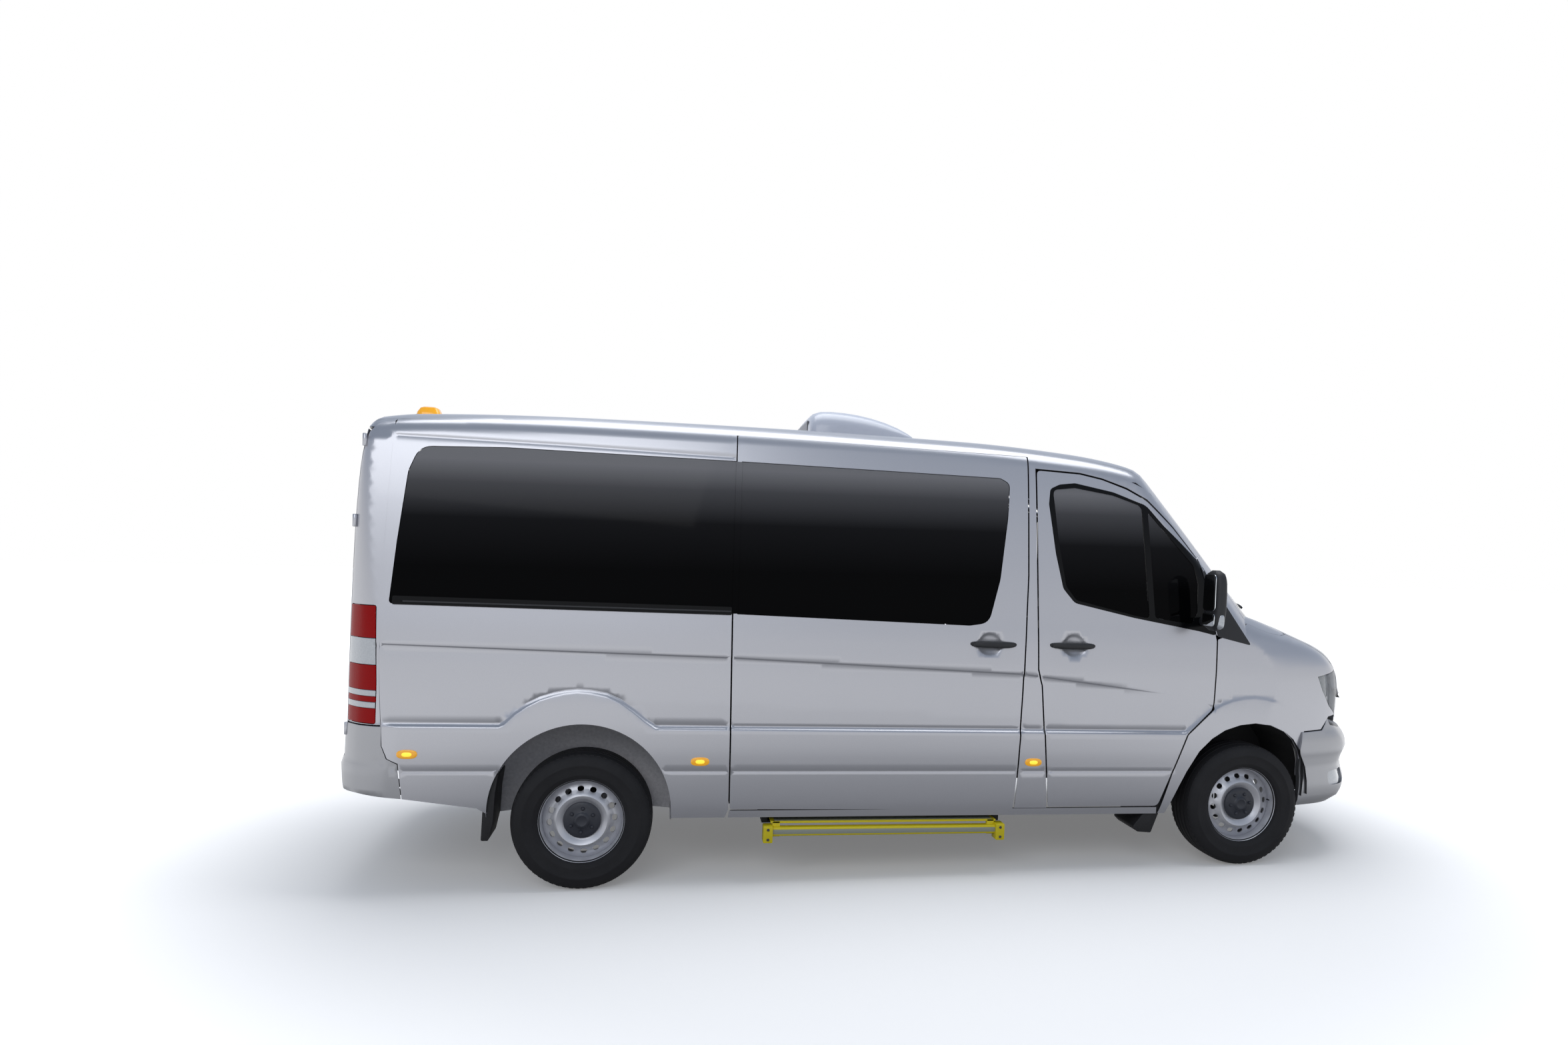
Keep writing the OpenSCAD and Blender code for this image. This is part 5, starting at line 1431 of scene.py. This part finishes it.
bolt = turned("housing_bolts", [(0.01, 5), (6, 5), (9, 3), (9, -1)], 6, [castMetal])
moved(bolt, Matrix.Rotation(math.radians(90), 4, "X"))
repeated(bolt, False, 4, castMetal, step=(345, 0, 0))
moved(bolt, pitchDown @ Matrix.Translation((-0.68, -0.871, 0.392)))
attach(bolt, "body")

# roof pod and beacon
rings = []
podLine = [(-571, 4, 0.86), (-569, 60, 0.9), (-560, 103, 0.94), (-538, 132, 0.97), (-500, 146, 0.99),
           (-440, 150, 1),
           (-360, 148, 1), (-280, 140, 0.995), (-200, 126, 0.985), (-120, 105, 0.97), (-50, 79, 0.95),
           (10, 48, 0.92), (36, 28, 0.9), (47, 8, 0.88)]
for x, h, wide in podLine:
    row = []
    for t in np.linspace(0, math.pi, 33):
        c, s = math.cos(t), math.sin(t)
        y = 429 * wide * math.copysign(abs(c) ** 0.5, c)
        row.append((x, y, 2406 + (h + 13) * abs(s) ** 0.55))
    row += [(x, -400 * wide, 2396), (x, 400 * wide, 2396)]
    rings.append(row)
o = loft("roof_pod", rings, [gelcoat])
shade(o, 40)
attach(o, "body", ("roof_air_conditioner",))
grille = prism("pod_vents", rounded([(-260, 2440), (260, 2440), (260, 2505), (-260, 2505)], 14), "x",
               -572, -566,
               [grilleDark], bevel=1)
attach(grille, "body")
slat = prism("pod_slats", [(-250, 2448), (250, 2448), (250, 2452), (-250, 2452)], "x", -576, -568,
             [gelcoat], bevel=0)
repeated(slat, False, 6, gelcoat, step=(0, 0, 9.5))
slat.data.transform(Matrix.Translation((0.003, 0, 0)))
attach(slat, "body")
domes = []
for name, finishing, rows in (("base", blackPlastic, [(-2790, -2648, 68, 2405),
                                                      (-2790, -2648, 68, 2421)]),
                              ("dome", amberLens, [(-2784, -2652, 62, 2421), (-2780, -2656, 60, 2438),
                                                   (-2764, -2668, 50, 2462), (-2750, -2680, 40, 2468),
                                                   (-2722, -2706, 12, 2469)])):
    rings = []
    for x0, x1, half, z in rows:
        u, v = oval((x1 - x0) / 2, half, 4, 40)
        rings.append([((x0 + x1) / 2 + a, b, z) for a, b in zip(u, v)])
    domes.append(loft(name, rings, [finishing]))
o = joined("beacon", domes)
shade(o, 30)
attach(o, "body", ("amber_beacon",))
print("roof details")

# wipers and cowl
cowlLoop = [(cowlX(y), y) for y in np.linspace(-702, 702, 29)] + [(2260, 702), (2260, -702)]
panel("cowl", cowlLoop, topRays, lambda p: noseSkin(p) + 10,
      materials=[blackPlastic],
      thick=10, step=40, lip=2)
for i, (y0, y1) in enumerate(((560, -60), (-80, -640))):
    bladeStart = y0 - 30
    rows = []
    for t in np.linspace(0, 1, 16):
        y, b = bladeStart + (y1 - bladeStart) * t, -322 + 50 * t * t
        p = land([(y, b)], screenRays, saloonSkin)[0]
        w = 7 + 5 * math.sin(t * math.pi)
        rows.append([p + screenUp * w * a + screenOut * c for a, c in ((-1, 2), (1, 2), (0.6, 14),
                                                                       (-0.6, 14))])
    bladeMesh = loft("blade", rows, [rubberSeal])
    rows = []
    for t in np.linspace(0, 1, 14):
        y, b = y0 + 25 + (y1 - y0) * 0.5 * t, -392 + 92 * t
        p = land([(y, b)], screenRays, saloonSkin)[0]
        rows.append([p + screenUp * 9 * a * (1 - 0.4 * t) + screenOut * (10 + c) for a, c in
                     ((-1, 4), (1, 4), (0.7, 13), (-0.7, 13))])
    armMesh = loft("wiperArm", rows, [blackPlastic])
    o = joined(f"wiper_{i + 1}", [bladeMesh, armMesh])
    shade(o)
    attach(o, "body")

# number plates left blank, rear latch handle and hinges
for side, word in ((-1, "right"), (1, "left")):
    straps = []
    for z in (769, 1794, 2191):
        base = land([(backU(836, z), z)], rearRays, saloonSkin)[0]
        knuckle = turned("knuckle", [(0.01, 31), (9, 31), (11, 28), (11, -28), (9, -31), (0.01, -31)],
                         20, [silverPaint])
        moved(knuckle, pitchDown @ Matrix.Translation(((base[0] - 6) / 1000,
                                                       side * (abs(base[1]) + 4) / 1000, z / 1000)))
        strap = prism("strap", [(base[0] - 12, z - 22), (base[0] + 4, z - 22), (base[0] + 4, z + 22),
                                (base[0] - 12, z + 22)], "y", side * (abs(base[1]) - 44),
                                side * abs(base[1]),
                      [silverPaint], bevel=4)
        straps += [knuckle, strap]
    o = joined(f"rear_hinges_{word}", straps)
    shade(o, 40)
    attach(o, "body")
plate = prism("rear_plate", rounded([(-260, 880), (260, 880), (260, 992), (-260, 992)], 8), "x",
              rearX + 2,
              rearX + 10, [gelcoat], bevel=1)
handleRear = prism("rear_handle", rounded([(20, 1120), (190, 1120), (190, 1156), (20, 1156)], 14), "x",
                   rearX + 1,
                   rearX + 22, [blackPlastic], bevel=4)
attach(plate, "rear_door_right")
attach(handleRear, "rear_door_right")
print("rear details")

# Seats: padded cushions and backs, one mesh for each row's width

seat = {"floorZ": 660, "backLean": 12, "cushionT": 135, "backT": 105, "cushionUp": 317, "backUp": 660,
        "restUp": 1040, "doubleFrom": 600}


def pad(size, puff, seams):
    # rounded block with a crowned face and sewn channels; size is x, y, z
    sx, sy, sz = size
    u, v = oval(sx / 2, sy / 2, 6, 56)
    rings = []
    for k, h in ((0.9, -0.5), (0.985, -0.42), (1.0, -0.2), (1.0, 0.2), (0.985, 0.38), (0.94, 0.47),
                 (0.85, 0.52),
                 (0.7, 0.55), (0.5, 0.57), (0.3, 0.58), (0.1, 0.58), (0.01, 0.58)):
        top = h > 0.3
        row = []
        for a, b in zip(u * k, v * k):
            z = h * sz
            if top:
                z += puff * (1 - (2 * a / sx) ** 2) * (1 - (2 * b / sy) ** 2)
                for s in seams:
                    z -= 9 * math.exp(-((b - s) / 9) ** 2)
            row.append((a, b, z))
        rings.append(row)
    return rings


def upright(block, x, y, z):
    # a pad turned to face forwards: its length runs up the back
    lean = math.radians(90 - seat["backLean"])
    bx, bz = block[..., 0].copy(), block[..., 2].copy()
    block[..., 0] = bz * math.sin(lean) - bx * math.cos(lean) + x
    block[..., 2] = bx * math.sin(lean) + bz * math.cos(lean) + z
    block[..., 1] += y
    return block


def benchMeshes(x, y, width):
    count = 2 if width > seat["doubleFrom"] else 1
    places = width / count
    floorZ = seat["floorZ"]
    out = []
    for i in range(count):
        cy = y + (i - (count - 1) / 2) * places
        cushion = np.array(pad((480, places - 12, seat["cushionT"]), 16,
                               (-places * 0.28, places * 0.28)))
        cushion += (x - 10, cy, floorZ + seat["cushionUp"])
        back = np.array(pad((610, places - 16, seat["backT"]), 14, (-places * 0.26, places * 0.26)))
        rest = np.array(pad((160, 240, 80), 8, ()))
        out += [loft("cushion", cushion, [seatCloth]),
                loft("back", upright(back, x - 318, cy, floorZ + seat["backUp"]), [seatCloth]),
                loft("headrest", upright(rest, x - 412, cy, floorZ + seat["restUp"]), [seatCloth])]
    base = prism("base", rounded([(x - 220, 662), (x + 160, 662), (x + 160, 908), (x - 220, 908)], 12),
                 "y",
                 y - width / 2 + 45, y + width * 0.05 + 35, [blackPlastic], bevel=4)
    out.append(base)
    return out


cab = joined("cab_seat_pads", benchMeshes(1000, 440, 500) + benchMeshes(1000, -420, 860))
shade(cab, 50)
attach(cab, "body", ("cab_seats",))
rows = []
for i in range(4):
    x = -2250 + 760 * i
    rows += benchMeshes(x, 420, 860)
    if x < -1300:
        rows += benchMeshes(x, -420, 420)
rowsObject = joined("passenger_seat_pads", rows)
shade(rowsObject, 50)
attach(rowsObject, "body", ("passenger_seats",))
print("seats")

# Finishes of the pieces carried over from the CAD
for names, finishing in ((("floor_pan",), floorVinyl), (("chassis_frame", "front_subframe", "rear_axle",
                         "side_step_housing", "fuel_tank"), underbodyBlack),
                         (("engine_block", "knuckle_right",
                         "knuckle_left", "exhaust"), castMetal), (("dashboard",), blackPlastic)):
    for name in names:
        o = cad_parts[name]
        o.data.materials.clear()
        o.data.materials.append(finishing)

# Studio: pale floor, white surroundings, one large soft lamp above and one in front


def rayOf(t, *kinds):
    # 1 for a ray of any of these kinds
    seen = addNode(t, "ShaderNodeLightPath")
    out = seen.outputs[f"Is {kinds[0]} Ray"]
    for kind in kinds[1:]:
        larger = addNode(t, "ShaderNodeMath", operation="MAXIMUM")
        t.links.new(out, larger.inputs[0])
        t.links.new(seen.outputs[f"Is {kind} Ray"], larger.inputs[1])
        out = larger.outputs[0]
    return out


studio = {"key": 350, "keyPlace": (0.3, 0.6, 7.0), "fill": 120, "fillPlace": (-3.5, -8.0, 5.4),
          "sky": 0.62}
floorPaint = finish("paleFloor", "8E8E90", "8C8C8E", grainMm=400, rough=0.9, IOR=1.05)
t = floorPaint.node_tree
shader = t.nodes["Principled BSDF"]
plainView, anyView = rayOf(t, "Camera", "Transmission"), rayOf(t, "Camera", "Transmission", "Glossy")
spot = addNode(t, "ShaderNodeTexCoord").outputs["Object"]
reach = addNode(t, "ShaderNodeVectorMath", operation="LENGTH")
t.links.new(spot, reach.inputs[0])
far = addNode(t, "ShaderNodeMapRange", {"Value": reach.outputs["Value"]}, From_Min=2.6, From_Max=6.0,
              To_Min=0.16)
far.interpolation_type = "SMOOTHSTEP"
seenFar = addNode(t, "ShaderNodeMath", operation="MULTIPLY")
t.links.new(anyView, seenFar.inputs[0])
t.links.new(far.outputs["Result"], seenFar.inputs[1])
t.links.new(seenFar.outputs[0], shader.inputs["Emission Strength"])
shader.inputs["Emission Color"].default_value = (1, 1, 1, 1)
white = addNode(t, "ShaderNodeMix", {"Factor": plainView}, data_type="RGBA")
t.links.new(shader.inputs["Base Color"].links[0].from_socket, white.inputs["A"])
white.inputs["B"].default_value = (1, 1, 1, 1)
t.links.new(white.outputs["Result"], shader.inputs["Base Color"])
floor = meshObject("floor", [(-60, -60, 0), (60, -60, 0), (60, 60, 0), (-60, 60, 0)], [(0, 1, 2, 3)],
                   [floorPaint])
floor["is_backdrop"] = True


def softLamp(name, power, spot, target, size):
    data = bpy.data.lights.new(name, "AREA")
    data.shape, data.size, data.size_y, data.energy = "RECTANGLE", size[0], size[1], power
    o = bpy.data.objects.new(name, data)
    scene.collection.objects.link(o)
    o.location = spot
    o.rotation_euler = (Vector(target) - Vector(spot)).to_track_quat("-Z", "Y").to_euler()
    return o


softLamp("key", studio["key"], studio["keyPlace"], (0, 0, 1), (9, 5))
softLamp("fill", studio["fill"], studio["fillPlace"], (0, 0, 1.2), (6, 3))
world = bpy.data.worlds.new("studio")
scene.world = world
world.use_nodes = True
t = world.node_tree
back = t.nodes["Background"]
back.inputs["Color"].default_value = (0.94, 0.965, 1, 1)
plainView, anyView = rayOf(t, "Camera", "Transmission"), rayOf(t, "Camera", "Transmission", "Glossy")
level = addNode(t, "ShaderNodeMapRange", {"Value": anyView}, To_Min=studio["sky"], To_Max=1.0)
t.links.new(level.outputs["Result"], back.inputs["Strength"])

# overhead the surroundings are deeper, so that the roof keeps its tone
way = addNode(t, "ShaderNodeTexCoord").outputs["Generated"]
height = addNode(t, "ShaderNodeSeparateXYZ", {"Vector": way}).outputs["Z"]
tone = addNode(t, "ShaderNodeValToRGB", {"Fac": height})
steps = tone.color_ramp.elements
steps[0].position, steps[0].color = 0.0, (1, 1, 1, 1)
steps[1].position, steps[1].color = 0.75, (0.34, 0.4, 0.5, 1)
for where, deepTone in ((0.08, (0.98, 0.98, 1, 1)), (0.3, (0.56, 0.62, 0.73, 1))):
    steps.new(where).color = deepTone
plain = addNode(t, "ShaderNodeMix", {"Factor": plainView}, data_type="RGBA")
t.links.new(tone.outputs["Color"], plain.inputs["A"])
plain.inputs["B"].default_value = (1, 1, 1, 1)
t.links.new(plain.outputs["Result"], back.inputs["Color"])
low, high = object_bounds()
print("studio ready")
